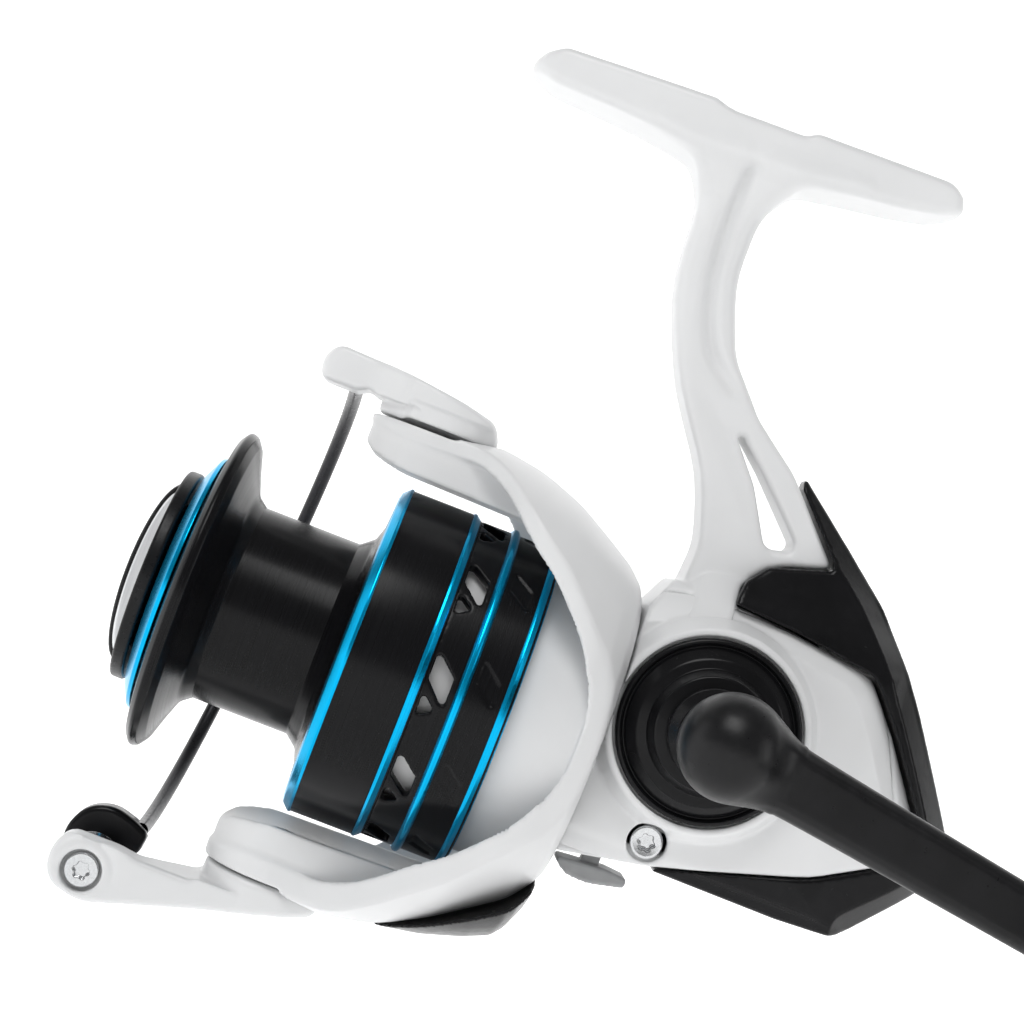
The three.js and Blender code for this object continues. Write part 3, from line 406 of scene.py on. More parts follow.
class Shader:
    """A node material with a Principled shader."""

    def __init__(self, name, color, metallic=0.0, roughness=0.4, coat=0.0, coat_roughness=0.05, specular=0.5):
        self.material = bpy.data.materials.new(name)
        self.material.use_nodes = True
        self.nodes, self.links = self.material.node_tree.nodes, self.material.node_tree.links
        self.base = self.nodes["Principled BSDF"]
        self.base.inputs["Base Color"].default_value = (*color, 1)
        self.base.inputs["Metallic"].default_value = metallic
        self.base.inputs["Roughness"].default_value = roughness
        self.base.inputs["Specular IOR Level"].default_value = specular
        self.base.inputs["Coat Weight"].default_value = coat
        self.base.inputs["Coat Roughness"].default_value = coat_roughness
        self.place = self.nodes.new("ShaderNodeTexCoord").outputs["Object"]

    def node(self, kind, inputs=(), **settings):
        made = self.nodes.new(kind)
        for key, value in settings.items():
            setattr(made, key, value)
        for key, value in dict(inputs).items():
            if isinstance(value, bpy.types.NodeSocket):
                self.links.new(value, made.inputs[key])
            else:
                made.inputs[key].default_value = value
        return made

    def noise(self, per_mm, detail=3.0, stretch=(1, 1, 1), where=None):
        scaled = self.node("ShaderNodeMapping", {"Vector": where or self.place, "Scale": stretch}).outputs[0]
        inputs = {"Vector": scaled, "Scale": per_mm / MM, "Detail": detail}
        return self.node("ShaderNodeTexNoise", inputs).outputs["Fac"]

    def turned_place(self):
        """Coordinates along the spool's axis and away from it, for the marks of a lathe."""
        split = self.node("ShaderNodeSeparateXYZ", {"Vector": self.place}).outputs
        across = self.node("ShaderNodeMath", {0: split["Y"], 1: ORIGIN[1]}, operation="SUBTRACT").outputs[0]
        up = self.node("ShaderNodeMath", {0: split["Z"], 1: ORIGIN[2]}, operation="SUBTRACT").outputs[0]
        flat = self.node("ShaderNodeCombineXYZ", {0: across, 1: up}).outputs[0]
        away = self.node("ShaderNodeVectorMath", {0: flat}, operation="LENGTH").outputs["Value"]
        return self.node("ShaderNodeCombineXYZ", {0: split["X"], 1: away}).outputs[0]

    def spread(self, fac, low, high):
        """A noise, which stays near its middle, stretched to the range from low to high."""
        inputs = {"Value": fac, "From Min": 0.25, "From Max": 0.75, "To Min": low, "To Max": high}
        return self.node("ShaderNodeMapRange", inputs).outputs[0]

    def tint(self, fac, low, high):
        made = self.node("ShaderNodeMix", {0: fac, 6: (*low, 1), 7: (*high, 1)}, data_type="RGBA")
        self.links.new(made.outputs[2], self.base.inputs["Base Color"])

    def rough(self, fac, low, high):
        self.links.new(self.spread(fac, low, high), self.base.inputs["Roughness"])

    def bump(self, fac, depth):
        before = self.base.inputs["Normal"].links
        made = self.node("ShaderNodeBump", {"Height": fac, "Distance": depth * MM})
        if before:
            self.links.new(before[0].from_socket, made.inputs["Normal"])
        self.links.new(made.outputs[0], self.base.inputs["Normal"])


def white_paint():
    color = (0.7, 0.705, 0.71)
    m = Shader("white_paint", color, roughness=0.36, coat=0.15, coat_roughness=0.2, specular=0.35)
    m.tint(m.spread(m.noise(0.06, 4), 0, 1), (0.68, 0.685, 0.69), (0.72, 0.725, 0.73))
    m.rough(m.noise(0.5, 4), 0.33, 0.42)
    m.bump(m.noise(1.6, 2), 0.006)
    m.bump(m.noise(12, 1), 0.0015)
    return m.material


def gloss_black():
    m = Shader("gloss_black", (0.005, 0.005, 0.006), roughness=0.22, specular=0.16)
    m.tint(m.spread(m.noise(0.1, 4), 0, 1), (0.004, 0.004, 0.0045), (0.008, 0.008, 0.009))
    m.rough(m.noise(0.7, 5), 0.16, 0.28)
    m.bump(m.noise(1.2, 2), 0.006)
    return m.material


def crank_black():
    m = Shader("crank_black", (0.005, 0.005, 0.006), roughness=0.3, specular=0.24)
    m.tint(m.spread(m.noise(0.15, 5), 0, 1), (0.004, 0.004, 0.0045), (0.009, 0.009, 0.01))
    m.rough(m.noise(0.8, 5), 0.26, 0.4)
    m.bump(m.noise(3.5, 3), 0.006)
    return m.material


def satin_black():
    m = Shader("satin_black", (0.005, 0.005, 0.0055), roughness=0.32, specular=0.2)
    m.tint(m.spread(m.noise(0.2, 4), 0, 1), (0.004, 0.004, 0.0045), (0.008, 0.008, 0.009))
    m.rough(m.noise(1.1, 4), 0.24, 0.36)
    m.bump(m.noise(5, 2), 0.004)
    return m.material


def anodised(name, dark, light, roughness, metallic, specular=0.5):
    """Anodised aluminium turned on the spool's axis, with the cutter's fine rings."""
    m = Shader(name, light, metallic=metallic, roughness=roughness, specular=specular)
    where = m.turned_place()
    rings = m.noise(9, 2, where=where)
    m.tint(m.spread(rings, 0, 1), dark, light)
    m.rough(m.noise(2.5, 3, where=where), roughness * 0.85, roughness * 1.2)
    m.bump(rings, 0.004)
    m.base.inputs["Anisotropic"].default_value = 0.35 * metallic
    return m.material


def metal(name, color, roughness, per_mm, turned=False, depth=0.004):
    """Metal with rings about the spool's axis, where it is turned, or with an even grain."""
    m = Shader(name, color, metallic=1.0, roughness=roughness)
    where = m.turned_place() if turned else None
    grain = m.noise(per_mm, 4, where=where)
    darker = tuple(c * 0.82 for c in color)
    m.tint(m.spread(grain, 0, 1), darker, color)
    m.rough(m.noise(per_mm * 0.4, 4, where=where), roughness * 0.8, roughness * 1.25)
    m.bump(grain, depth)
    return m.material


def soft_grip():
    m = Shader("soft_grip", (0.018, 0.018, 0.019), roughness=0.62)
    m.tint(m.spread(m.noise(0.3, 5), 0, 1), (0.013, 0.013, 0.014), (0.024, 0.024, 0.026))
    m.rough(m.noise(1.5, 4), 0.52, 0.7)
    m.bump(m.noise(3.2, 2), 0.03)
    m.base.inputs["Sheen Weight"].default_value = 0.1
    return m.material


def grey_plastic():
    m = Shader("grey_plastic", (0.3, 0.305, 0.31), roughness=0.45)
    m.tint(m.spread(m.noise(0.4, 4), 0, 1), (0.27, 0.275, 0.28), (0.33, 0.335, 0.34))
    m.rough(m.noise(2, 4), 0.38, 0.52)
    m.bump(m.noise(6, 2), 0.008)
    return m.material


def felt():
    m = Shader("felt", (0.2, 0.17, 0.13), roughness=0.95)
    m.tint(m.spread(m.noise(3, 6), 0, 1), (0.14, 0.115, 0.085), (0.26, 0.22, 0.17))
    m.bump(m.noise(7, 5), 0.08)
    m.base.inputs["Sheen Weight"].default_value = 0.4
    return m.material


def silver_trim():
    m = Shader("silver_trim", (0.74, 0.75, 0.77), metallic=0.35, roughness=0.34, coat=0.3, coat_roughness=0.1)
    m.tint(m.spread(m.noise(2, 4, stretch=(1, 1, 0.08)), 0, 1), (0.68, 0.69, 0.71), (0.8, 0.81, 0.82))
    m.rough(m.noise(4, 3, stretch=(1, 1, 0.1)), 0.28, 0.42)
    m.bump(m.noise(6, 2, stretch=(1, 1, 0.1)), 0.003)
    return m.material


ANODISED_BLACK = (0.003, 0.003, 0.0035), (0.006, 0.006, 0.007)
ANODISED_BLUE = (0.0, 0.3, 0.64), (0.0, 0.48, 0.78)
FINISH = {
    "white_paint": white_paint(),
    "gloss_black": gloss_black(),
    "crank_black": crank_black(),
    "satin_black": satin_black(),
    "soft_grip": soft_grip(),
    "grey_plastic": grey_plastic(),
    "black_anodised": anodised("black_anodised", *ANODISED_BLACK, 0.22, 0.0, 0.15),
    "blue_anodised": anodised("blue_anodised", *ANODISED_BLUE, 0.22, 0.9),
    "silver_trim": silver_trim(),
    "dark_wire": metal("dark_wire", (0.035, 0.035, 0.038), 0.3, 3.0),
    "bright_steel": metal("bright_steel", (0.62, 0.63, 0.64), 0.16, 4.0, depth=0.002),
    "steel": metal("steel", (0.5, 0.51, 0.52), 0.28, 5.0, turned=True),
    "zinc_alloy": metal("zinc_alloy", (0.4, 0.41, 0.42), 0.42, 2.5, depth=0.012),
    "brass": metal("brass", (0.6, 0.42, 0.17), 0.3, 4.0, turned=True),
    "felt": felt(),
}


def finish_piece(obj, body, slot, *nodes):
    """Gives a piece its material and body, and hides the CAD nodes it stands for."""
    obj.data.materials.append(FINISH[slot])
    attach(obj, body)
    if nodes:
        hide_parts(*nodes)


for subpart in frame["record"]["subparts"]:
    for place in frame["nodes"][subpart["node"]].material_slots:
        place.link = "OBJECT"
        place.material = FINISH[subpart["material_slot"]]

# ---- housing outlines, in (x, z)
HOUSING = Outline(rounded([
    (-14, -16.4, 0.5), (-6.6, -14.9, 20), (-0.3, -13.6, 20),
    (22.3, -6.5, 20), (33, -0.9, 4), (37.4, 3.6, 2),
    (27.2, 17.1, 12), (20.8, 24.3, 3.5), (8, 26.2, 20), (-11.6, 27.6, 1), (-14, 22, 1),
]), 0.15)
GUARD = Outline(rounded([
    (-2, 20), (-2, 28.4, 1), (-1.5, 31, 1.5), (1.2, 34.2, 1.5),
    (10.8, 37.2, 0.6), (8, 40.8, 8), (2.4, 47.2, 0.6),
    (2.1, 49.2, 0.3), (12.5, 41, 60), (20, 34.8, 14), (30, 22, 40),
    (40, 8, 12), (42.4, 4.6, 3), (40.2, -3.2, 5),
    (31.4, -12.2, 3), (28.8, -13.7, 4), (20, -14.2, 10), (0.6, -14), (8, 0),
]), 0.15)
SPINE = Outline(flowing([
    (2.1, 49.2), (12.5, 41), (20, 34.4), (30, 21.8), (40, 8), (42.2, 4.4), (40.4, -3.2), (31.4, -12.2),
]), 0.3, closed=False)
FACE = Outline(rounded([
    (-30, 13), (-13.8, 20, 3), (-6.6, 22.9, 6), (6.9, 23.3, 10),
    (17.5, 21.9, 3), (19.6, 20.2, 3), (24.3, 14.2, 40),
    (29.1, 7), (36, -1.4, 2), (60, -30), (-30, -40),
]), 0.1)
PLAN = ramp([(-20, HALF), (-16, HALF), (18, HALF), (27, 11.2), (35, 9.2), (41, 6.8), (44, 4.5), (48, 2)])
FRONT = ramp([
    (-20, 5), (-17, 7.5), (-13, 10.6), (-7, HALF), (20, HALF), (27, 11.2), (33, 8), (39, 6.2), (51, 5),
])


def body_width(x, z):
    """Half the width of the body at a place in the side view."""
    return np.minimum(PLAN(x), FRONT(z))


def housing_face(x, z):
    """How far out the flat side lies; beyond the creases it slopes back to the edge."""
    return body_width(x, z) - 0.6 * np.maximum(FACE(x, z), 0)


# ---- body: foot, stem, strut and housing
FOOT_SIDE = Outline(rounded([
    (-16.9, -3.9, 2), (-14.8, -1.4, 3), (-12, 0, 2), (11.5, 0, 1.5),
    (13.4, -0.7, 1.2), (15, -1, 1.2), (26, -1, 1.2),
    (27.8, 0, 1.5), (49.6, 0, 4), (52.2, -1.2, 2), (53.5, -3.6, 1.5),
    (49, -5.4, 6), (43, -6.4, 12), (33, -7.3, 12),
    (8, -7.6, 12), (-2, -6.5, 10), (-12, -5.7, 6),
]), 0.2)
FOOT_PLAN = Outline(rounded([
    (-17, -6.2, 5.5), (-2, -7.4, 30), (16, -8.4, 30), (36, -7.4, 30), (53.6, -6.2, 5.5),
    (53.6, 6.2, 5.5), (36, 7.4, 30), (16, 8.4, 30), (-2, 7.4, 30), (-17, 6.2, 5.5),
]), 0.2)
STEM = Outline(rounded([
    (-10.4, 22), (-9.7, 34, 12), (-13, 43.8, 25), (-21, 55, 40),
    (-27.4, 69, 40), (-28, 82, 12), (-31, 87.8, 7),
    (-40, 91.5), (-6, 93), (-14, 90, 6), (-18.5, 83.5, 10), (-18.5, 73, 20), (-14.5, 62, 12), (-8, 54.6, 8),
    (0, 48.8, 12), (10.6, 37.4, 0.8), (4, 35.3), (1, 33.6), (-1.8, 30), (-1.8, 22),
]), 0.25)
WINDOW = Outline(rounded([
    (-13.3, 54.8, 0.8), (-4.5, 47.2, 6), (5, 37.9, 1.2), (-0.2, 36.7, 1.8), (-5, 45, 12),
]), 0.1)
WEB = Outline(rounded([(-4, 24), (-2, 33.8), (4, 35.4), (10, 37.4), (13, 33), (13, 24)]), 0.1)
STEM_HALF = ramp([(20, 7), (28, 6.6), (34, 5.8), (44, 5.2), (78, 5.2), (84, 5.8), (89, 7.2), (94, 7.8)])
STEM_EDGE = ramp([(30, 1.0), (50, 1.2), (58, 1.6), (68, 3.0), (84, 3.0), (92, 2.0)])
VALLEY = Outline(flowing([
    (-22.6, 93), (-23, 88), (-23, 80), (-22.2, 72), (-20.2, 65), (-17.5, 60.5), (-13, 57),
]), 0.2, closed=False)
FAR_SCREWS = [(29, 4.6), (-8.4, 23.4)]
NEAR_SCREW = (-1.9, -10.2)
BASE_CREASE = ramp([(-12, 28), (-9.2, 28.2), (-6.8, 30.4), (-1, 31.6), (2, 33.4), (12, 36.4)])


def foot(x, y, z):
    dx, dz = x - SEAT[0], z - SEAT[1]
    along = dx * math.cos(SEAT_TILT) + dz * math.sin(SEAT_TILT)
    up = dz * math.cos(SEAT_TILT) - dx * math.sin(SEAT_TILT)
    return both(FOOT_SIDE(along, up), FOOT_PLAN(along, y), 1.3)


def stem(x, y, z):
    side = without(STEM(x, z), WINDOW(x, z), 0.5)
    strut = soft_step(x + 13 + 0.9 * (z - 50), 3) * soft_step(54 - z, 4) * soft_step(z - 30 - 0.3 * x, 3)
    valley = 1.5 * np.exp(-((VALLEY(x, z) / 1.1) ** 2)) * soft_step(z - 58, 6)
    flare = 0.8 * np.maximum(BASE_CREASE(x) - z, 0)
    half = STEM_HALF(z) - 0.6 * strut - valley + flare
    return both(side, np.abs(y) - half, STEM_EDGE(z))


def housing_shell(x, y, z):
    outer = both(HOUSING(x, z), np.abs(y) - housing_face(x, z), 0.6)
    room = both(HOUSING(x, z) + WALL, np.abs(y) - housing_face(x, z) + WALL, 0.4)
    return without(outer, room, 0.1)


def body_frame(x, y, z):
    housing = both(housing_shell(x, y, z), SEAM - y, 0.15)
    away = np.hypot(x, z - DRIVE_Z)
    boss = both(away - 11 - 0.25 * (16 - y), between(y, 11, 16), 0.6)
    from_axis = np.hypot(y, z)
    neck = both(from_axis - 12.8, between(x, -30, -13), 0.4)
    housing = either(housing, both(boss, -y), 1.0)
    whole = either(either(foot(x, y, z), stem(x, y, z), 2.2), housing, 0.5)
    whole = either(whole, prism(WEB(x, z), y, -3, 3), 0.3)
    whole = either(whole, neck, 0.4)
    whole = without(whole, both(from_axis - 10.5, x + 18.9), 0.2)
    whole = without(whole, both(from_axis - 8.3, x + 13.9), 0.1)
    whole = without(whole, both(away - 8.3, between(y, 10, 14.9), 0.1), 0.1)
    whole = without(whole, both(away - 6.4, 8 - y), 0.2)
    for u, v in FAR_SCREWS:
        spot = np.hypot(x - u, z - v)
        whole = without(whole, both(spot - 2.9, 9.9 - y), 0.15)
    slot = both(between(x, -9.6, -5.4), both(np.abs(y) - 3.6, z + 11), 0.3)
    return without(whole, slot, 0.2)


def side_cover(x, y, z):
    shell = both(housing_shell(x, y, z), y - (SEAM - GAP), 0.15)
    away = np.hypot(x, z - DRIVE_Z)
    cone = both(away - 16.6 + 0.33 * np.maximum(-12.4 - y, 0), between(y, -17.2, -9.2), 0.5)
    cone = both(cone, -14 - x, 0.3)
    whole = either(shell, cone, 0.5)
    whole = without(whole, both(away - 14.0, y + 15.6), 0.25)
    whole = without(whole, both(away - 8.3, y + 11), 0.1)
    spot = np.hypot(x - NEAR_SCREW[0], z - NEAR_SCREW[1])
    return without(whole, both(spot - 3.0, y + 9.9), 0.3)


def rear_guard(x, y, z):
    bevel = 1.0 * np.maximum(3.4 - SPINE(x, z), 0)
    face = body_width(x, z) - bevel
    whole = both(GUARD(x, z), np.abs(y) - face, 0.45)
    whole = without(whole, HOUSING(x, z) - GAP, 0.1)
    notch = both(STEM(x, z) - GAP, np.abs(y) - 6.2, 0.2)
    web = both(WEB(x, z) - GAP, np.abs(y) - 3.3, 0.1)
    return without(without(whole, notch, 0.3), web, 0.1)


def body_pieces():
    body = skin("body_casting", body_frame, (-61, -14, -20), (45, 18, 101), 0.5)
    finish_piece(body, "body", "white_paint", "body_frame")
    cover = skin("gear_cover", side_cover, (-16, -18.5, -19), (40, -7, 30), 0.36)
    finish_piece(cover, "body", "white_paint", "side_cover")
    guard = skin("tail_guard", rear_guard, (-4, -14, -18), (45, 14, 52), 0.38)
    finish_piece(guard, "body", "gloss_black", "rear_guard")


# ---- screws, caps, lever
class Screw:
    """The head's radius and height, the six-lobed socket's radius, and the shank's radius and end."""

    def __init__(self, radius, height, socket, shank, end):
        self.radius, self.height, self.socket = radius, height, socket
        self.shank, self.end = shank, end

    def field(self, along, u, v):
        """The screw's field, with the top of the head at along = 0."""
        away = np.hypot(u, v)
        head = both(away - self.radius, between(along, -self.height, 0), 0.25)
        shank = both(away - self.shank, between(along, -self.end, -self.height / 2), 0.2)
        angle = np.arctan2(v, u)
        lobes = both(away - self.socket * (1 + 0.13 * np.cos(6 * angle)), -along - 0.75 * self.height, 0.05)
        dish = 0.12 * (1 - (away / self.radius) ** 2)
        return without(both(either(head, shank, 0.1), along + dish, 0.05), lobes, 0.06)


def place_screw(name, body, node, screw, at, axis, facing):
    """A screw along Y (axis 1) or Z (axis 2), with its head towards the facing sign."""
    others = [k for k in range(3) if k != axis]

    def field(*place):
        along = (place[axis] - at[axis]) * facing
        u, v = (place[k] - at[k] for k in others)
        return screw.field(along, u, v)

    spans = np.full(3, screw.radius + 0.6)
    spans[axis] = screw.end + 0.6
    made = skin(name, field, at - spans, at + spans, 0.16)
    finish_piece(made, body, "bright_steel", node)


NEAR_CAP = [
    (-15.9, 5.4), (-15.9, 13.6, 0.3), (-17.5, 13.6, 0.5),
    (-17.7, 12.9, 0.3), (-16.9, 12.5, 0.4), (-17.5, 12.1, 0.3),
    (-18.9, 10.7, 1.0), (-19.2, 9.3, 0.3), (-21.2, 8.3, 0.5), (-21.4, 6, 0.4), (-21.4, 5.4),
]
FAR_CAP = [
    (16.3, 0), (16.3, 9.6, 0.2), (18.2, 9.6, 0.5), (19.2, 8.2, 1.0),
    (19.6, 4.2, 0.3), (19.2, 3.8, 0.2), (19.2, 0),
]
NEAR_SCREW_SIZE = Screw(2.45, 1.2, 1.15, 1.3, 13)
FAR_SCREW_SIZE = Screw(2.6, 1.4, 1.15, 1.3, 20)
REVERSE_TAB = Outline(rounded([
    (-13.4, -17.6, 0.5), (-10.5, -19.7, 3), (-7, -19.9, 8),
    (-1.4, -18.6, 0.8), (-1.6, -17.2, 0.6), (-5, -16.9, 2),
]), 0.1)


def reverse_lever(x, y, z):
    """The anti-reverse lever, with fine ribs across the finger's side of its pad."""
    pad = prism(REVERSE_TAB(x, z), y, -3.4, 3.4, 0.6)
    neck = both(between(x, -8.9, -6.1), both(np.abs(y) - 1.4, between(z, -17.6, -10.8), 0.2), 0.2)
    pin = both(np.hypot(y, z + 10.8) - 1.3, between(x, -12.5, -5), 0.2)
    ribs = 0.12 * np.cos(x * 2 * math.pi / 1.1) * soft_step(-18.2 - z, 0.6)
    return either(either(pad, neck, 0.3), pin, 0.2) + ribs * (np.abs(y) < 2.6)


def small_body_pieces():
    cap = lathe("crank_side_cap", NEAR_CAP, "Y", (0.0, DRIVE_Z))
    finish_piece(cap, "body", "gloss_black", "bearing_cap")
    far = lathe("far_hub_cap", FAR_CAP, "Y", (0.0, DRIVE_Z))
    finish_piece(far, "body", "gloss_black", "far_side_cap")
    near_at = np.array([NEAR_SCREW[0], -11.4, NEAR_SCREW[1]])
    place_screw("cover_screw_near", "body", "cover_screw_1", NEAR_SCREW_SIZE, near_at, 1, -1)
    for i, (u, v) in enumerate(FAR_SCREWS):
        at = np.array([u, 11.6, v])
        place_screw(f"cover_screw_far_{i + 1}", "body", f"cover_screw_{i + 2}", FAR_SCREW_SIZE, at, 1, 1)
    made = skin("reverse_lever", reverse_lever, (-14, -4, -21), (0, 4, -9), 0.2)
    finish_piece(made, "lever", "grey_plastic", "anti_reverse_lever")


# ---- crank
HUB_Y = -42
ARM_LENGTH = 58
ARM_HEIGHT = ramp([(-8, 5.6), (0, 5.6), (8, 5.2), (14, 4.8), (58, 4.0), (70, 4.0)])
ARM_MIDDLE = ramp([(-10, -42.1), (0, -42.1), (16, -42.6), (58, -48.9), (70, -50)])
ARM_THICK = ramp([(-10, 3.2), (14, 2.9), (40, 2.3), (58, 2.0), (70, 2)])


def in_arm(x, z):
    """Places along the arm and across it, from places in the side view."""
    dz = z - DRIVE_Z
    along = x * math.cos(CRANK_SLOPE) - dz * math.sin(CRANK_SLOPE)
    across = x * math.sin(CRANK_SLOPE) + dz * math.cos(CRANK_SLOPE)
    return along, across


def crank_arm(x, y, z):
    along, across = in_arm(x, z)
    hub = ball(along, y - HUB_Y, across, 7.5)
    depth = y - ARM_MIDDLE(along)
    beam = both(np.abs(across) - ARM_HEIGHT(along), np.abs(depth) - ARM_THICK(along), 1.5)
    bevel = (np.abs(across) + 0.8 * np.abs(depth) - ARM_HEIGHT(along) - 0.3 * ARM_THICK(along)) * 0.78
    beam = both(beam, bevel, 0.4)
    beam = both(beam, between(along, 0, ARM_LENGTH + 4.6), 2.0)
    eye_away = np.hypot(along - ARM_LENGTH, across)
    eye = both(eye_away - 5.0, between(y, -51, -46.6), 0.5)
    stub = both(np.hypot(along, across) - 5.0, between(y, -44, -33.8), 0.3)
    whole = either(either(hub, beam, 2.2), stub, 1.0)
    whole = either(whole, eye, 0.8)
    whole = without(whole, both(eye_away - 2.0, y + 40), 0.1)
    screw = both(np.hypot(along, across) - 2.1, between(y, -36, 6), 0.2)
    return either(whole, screw, 0.1)


GRIP = ramp([
    (-84.6, 0.2), (-84, 0.55), (-82, 0.9), (-79, 1.0), (-74, 0.97),
    (-68, 0.8), (-63, 0.63), (-58, 0.6), (-54, 0.6),
    (-52.4, 0.54), (-51.6, 0.3),
])


def knob_body(x, y, z):
    along, across = in_arm(x, z)
    along = along - ARM_LENGTH
    wide, thin = 10.5 * GRIP(y), 7.0 * GRIP(y)
    grip = (np.sqrt((along / wide) ** 2 + (across / thin) ** 2) - 1) * np.minimum(wide, thin) * 0.9
    grip = both(grip, between(y, -84, -52), 0.8)
    grip = grip + 0.22 * ((np.abs(y + 60.5) < 0.5) | (np.abs(y + 58.3) < 0.5))
    away = np.hypot(along, across)
    grip = without(grip, both(away - 4.6, y + 78, 0.2), 0.2)
    return without(grip, both(away - 3.6, between(y, -90, -40), 0.2), 0.15)


def crank_pieces():
    arm = skin("crank_handle", crank_arm, (-9, -53, -14), (64, 7, 18), 0.36)
    finish_piece(arm, "crank", "crank_black", "crank_arm")
    collar = lathe("crank_hub_sleeve", [
        (-21.85, 2.5), (-21.85, 6.8, 0.3), (-24.3, 6.8, 0.6),
        (-25.8, 5.4, 0.8), (-33.4, 5.0, 0.2), (-33.4, 2.5),
    ], "Y", (0.0, DRIVE_Z))
    finish_piece(collar, "crank", "gloss_black", "crank_collar")
    end_x = ARM_LENGTH * math.cos(CRANK_SLOPE)
    end_z = DRIVE_Z - ARM_LENGTH * math.sin(CRANK_SLOPE)
    grip = skin("crank_grip", knob_body, (end_x - 12, -86, end_z - 12), (end_x + 12, -50, end_z + 12), 0.32)
    finish_piece(grip, "knob", "soft_grip", "knob_body")
    cap = lathe("grip_end_cap", [
        (-84.4, 0), (-84.4, 3.4, 0.6), (-83.9, 4.3, 0.4), (-81.5, 4.3, 0.1), (-81.5, 0),
    ], "Y", (end_x, end_z), 96)
    finish_piece(cap, "knob", "satin_black", "knob_cap")
    spindle = lathe("grip_spindle", [
        (-81, 0), (-81, 1.7, 0.2), (-51.9, 1.7), (-51.9, 1.95),
        (-51.2, 1.95), (-51.2, 1.7), (-46.2, 1.7), (-46.2, 3.2, 0.2),
        (-44.6, 3.2, 0.3), (-44.6, 0),
    ], "Y", (end_x, end_z), 64)
    finish_piece(spindle, "crank", "steel", "knob_spindle")


# ---- rotor, profiles in (x, radius)
ROTOR_INNER = [
    (-17.6, 21), (-17.8, 23.6, 1), (-19.2, 25.1, 3), (-22, 27.3, 8), (-29.5, 31.2, 20), (-37, 33.4, 20),
    (-44, 34.3, 20), (-63, 33.6),
]
ROTOR_UP = Outline(rounded([
    (-14.6, 21), (-14.6, 23, 0.5), (-15.6, 25, 2), (-18, 27.2, 4),
    (-22, 29.6, 10), (-28, 33, 20), (-35, 35.5, 20),
    (-42, 36.6, 20), (-50, 36.4, 20), (-63, 35.9), *ROTOR_INNER[::-1],
]), 0.15)
ROTOR_LOW = Outline(rounded([
    (-14.6, 21), (-14.6, 23, 0.5), (-15.6, 25, 2), (-18, 27.4, 4),
    (-22, 30, 10), (-28, 33.8, 20), (-35, 37, 20),
    (-42.6, 38.4, 12), (-63, 37.4), *ROTOR_INNER[::-1],
]), 0.15)
ARM_CORE = Outline(rounded([
    (-63, 34.9), (-63, 30.8, 1.5), (-60.2, 29.4, 1.5), (-31, 28.8, 2),
    (-27, 29.8, 1), (-28, 31, 1), (-38, 34.9, 1),
]), 0.15)
ARM_COVER = Outline(rounded([
    (-14.9, 15), (-14.9, 24, 2), (-15.5, 28, 3), (-16.9, 31, 2),
    (-18.2, 32.5, 1.5), (-22, 34.1, 8), (-28, 35.9, 20),
    (-36, 37.2), (-36, 15),
]), 0.15)
DRUM = Outline(rounded([
    (-14.6, 20, 0.3), (-14.6, 22.5, 0.3), (-45, 22.5, 0.5), (-46, 21.5, 0.5),
    (-46, 3.7), (-43, 3.7), (-43, 20, 1),
]), 0.1)
ARM_ROUND = 9.9
BAIL_ROUND = 9.5
ROTOR_HALF = ramp([
    (-66, ARM_ROUND), (-52.4, ARM_ROUND), (-46, 10.6), (-41, 14.5), (-36, 20), (-31, 22.6), (-22, 24.2),
    (-17.7, 23.8), (-13, 23),
])
COVER_ROOM = Outline(rounded([
    (-13, -17.4), (-15, -20.6, 10), (-17.9, -25.2, 10),
    (-21, -27.4, 20), (-25.7, -30.6, 30), (-30.4, -33.6, 30),
    (-36.6, -37.4, 1), (-36, -42), (-13, -42),
]), 0.15)


def from_hinge(x, y):
    return np.hypot(x - BAIL_X, y)


def arm_reach(x, y):
    """The plan view's limit of the rotor arms, with a round end about the bail's hinge."""
    straight = both(np.abs(y) - ROTOR_HALF(x), BAIL_X - x, 0.2)
    tip = from_hinge(x, y) - ARM_ROUND
    return either(straight, tip, 0.3)


def rotor_outside(x, away, z):
    """The thin shell of both arms; the lower one stands a little further out."""
    upper = soft_step(z, 12)
    return ROTOR_UP(x, away) * upper + ROTOR_LOW(x, away) * (1 - upper)


def rotor(x, y, z):
    away = np.hypot(y, z)
    shell = both(rotor_outside(x, away, z), arm_reach(x, y), 0.45)
    core = both(ARM_CORE(x, away), both(np.abs(y) - 9.6, BAIL_X - 9.6 - x, 2.0), 0.5)
    arms = either(shell, both(core, arm_reach(x, y), 0.5), 0.8)
    whole = either(arms, DRUM(x, away), 0.6)
    pivot = from_hinge(x, y)
    seat = both(pivot - 10.1, np.minimum(34.6 - z, z + 36.0), 0.2)
    whole = without(whole, seat, 0.35)
    whole = without(whole, both(pivot - 1.8, 29 - np.abs(z)), 0.1)
    return without(whole, both(COVER_ROOM(x, z), 10 + z, 0.1), 0.2)


def arm_cover(x, y, z):
    away = np.hypot(y, z)
    whole = both(ARM_COVER(x, away), 21.6 - away, 0.2)
    whole = both(whole, COVER_ROOM(x, z) + GAP, 0.35)
    return both(whole, np.abs(y) - ROTOR_HALF(x) + 0.1, 0.9)


HINGE_SCREW = Screw(3, 1.4, 1.3, 1.5, 9.3)
HINGE_SCREW_TOPS = {"upper_pivot_screw": 40.3, "lower_pivot_screw": -41.3}


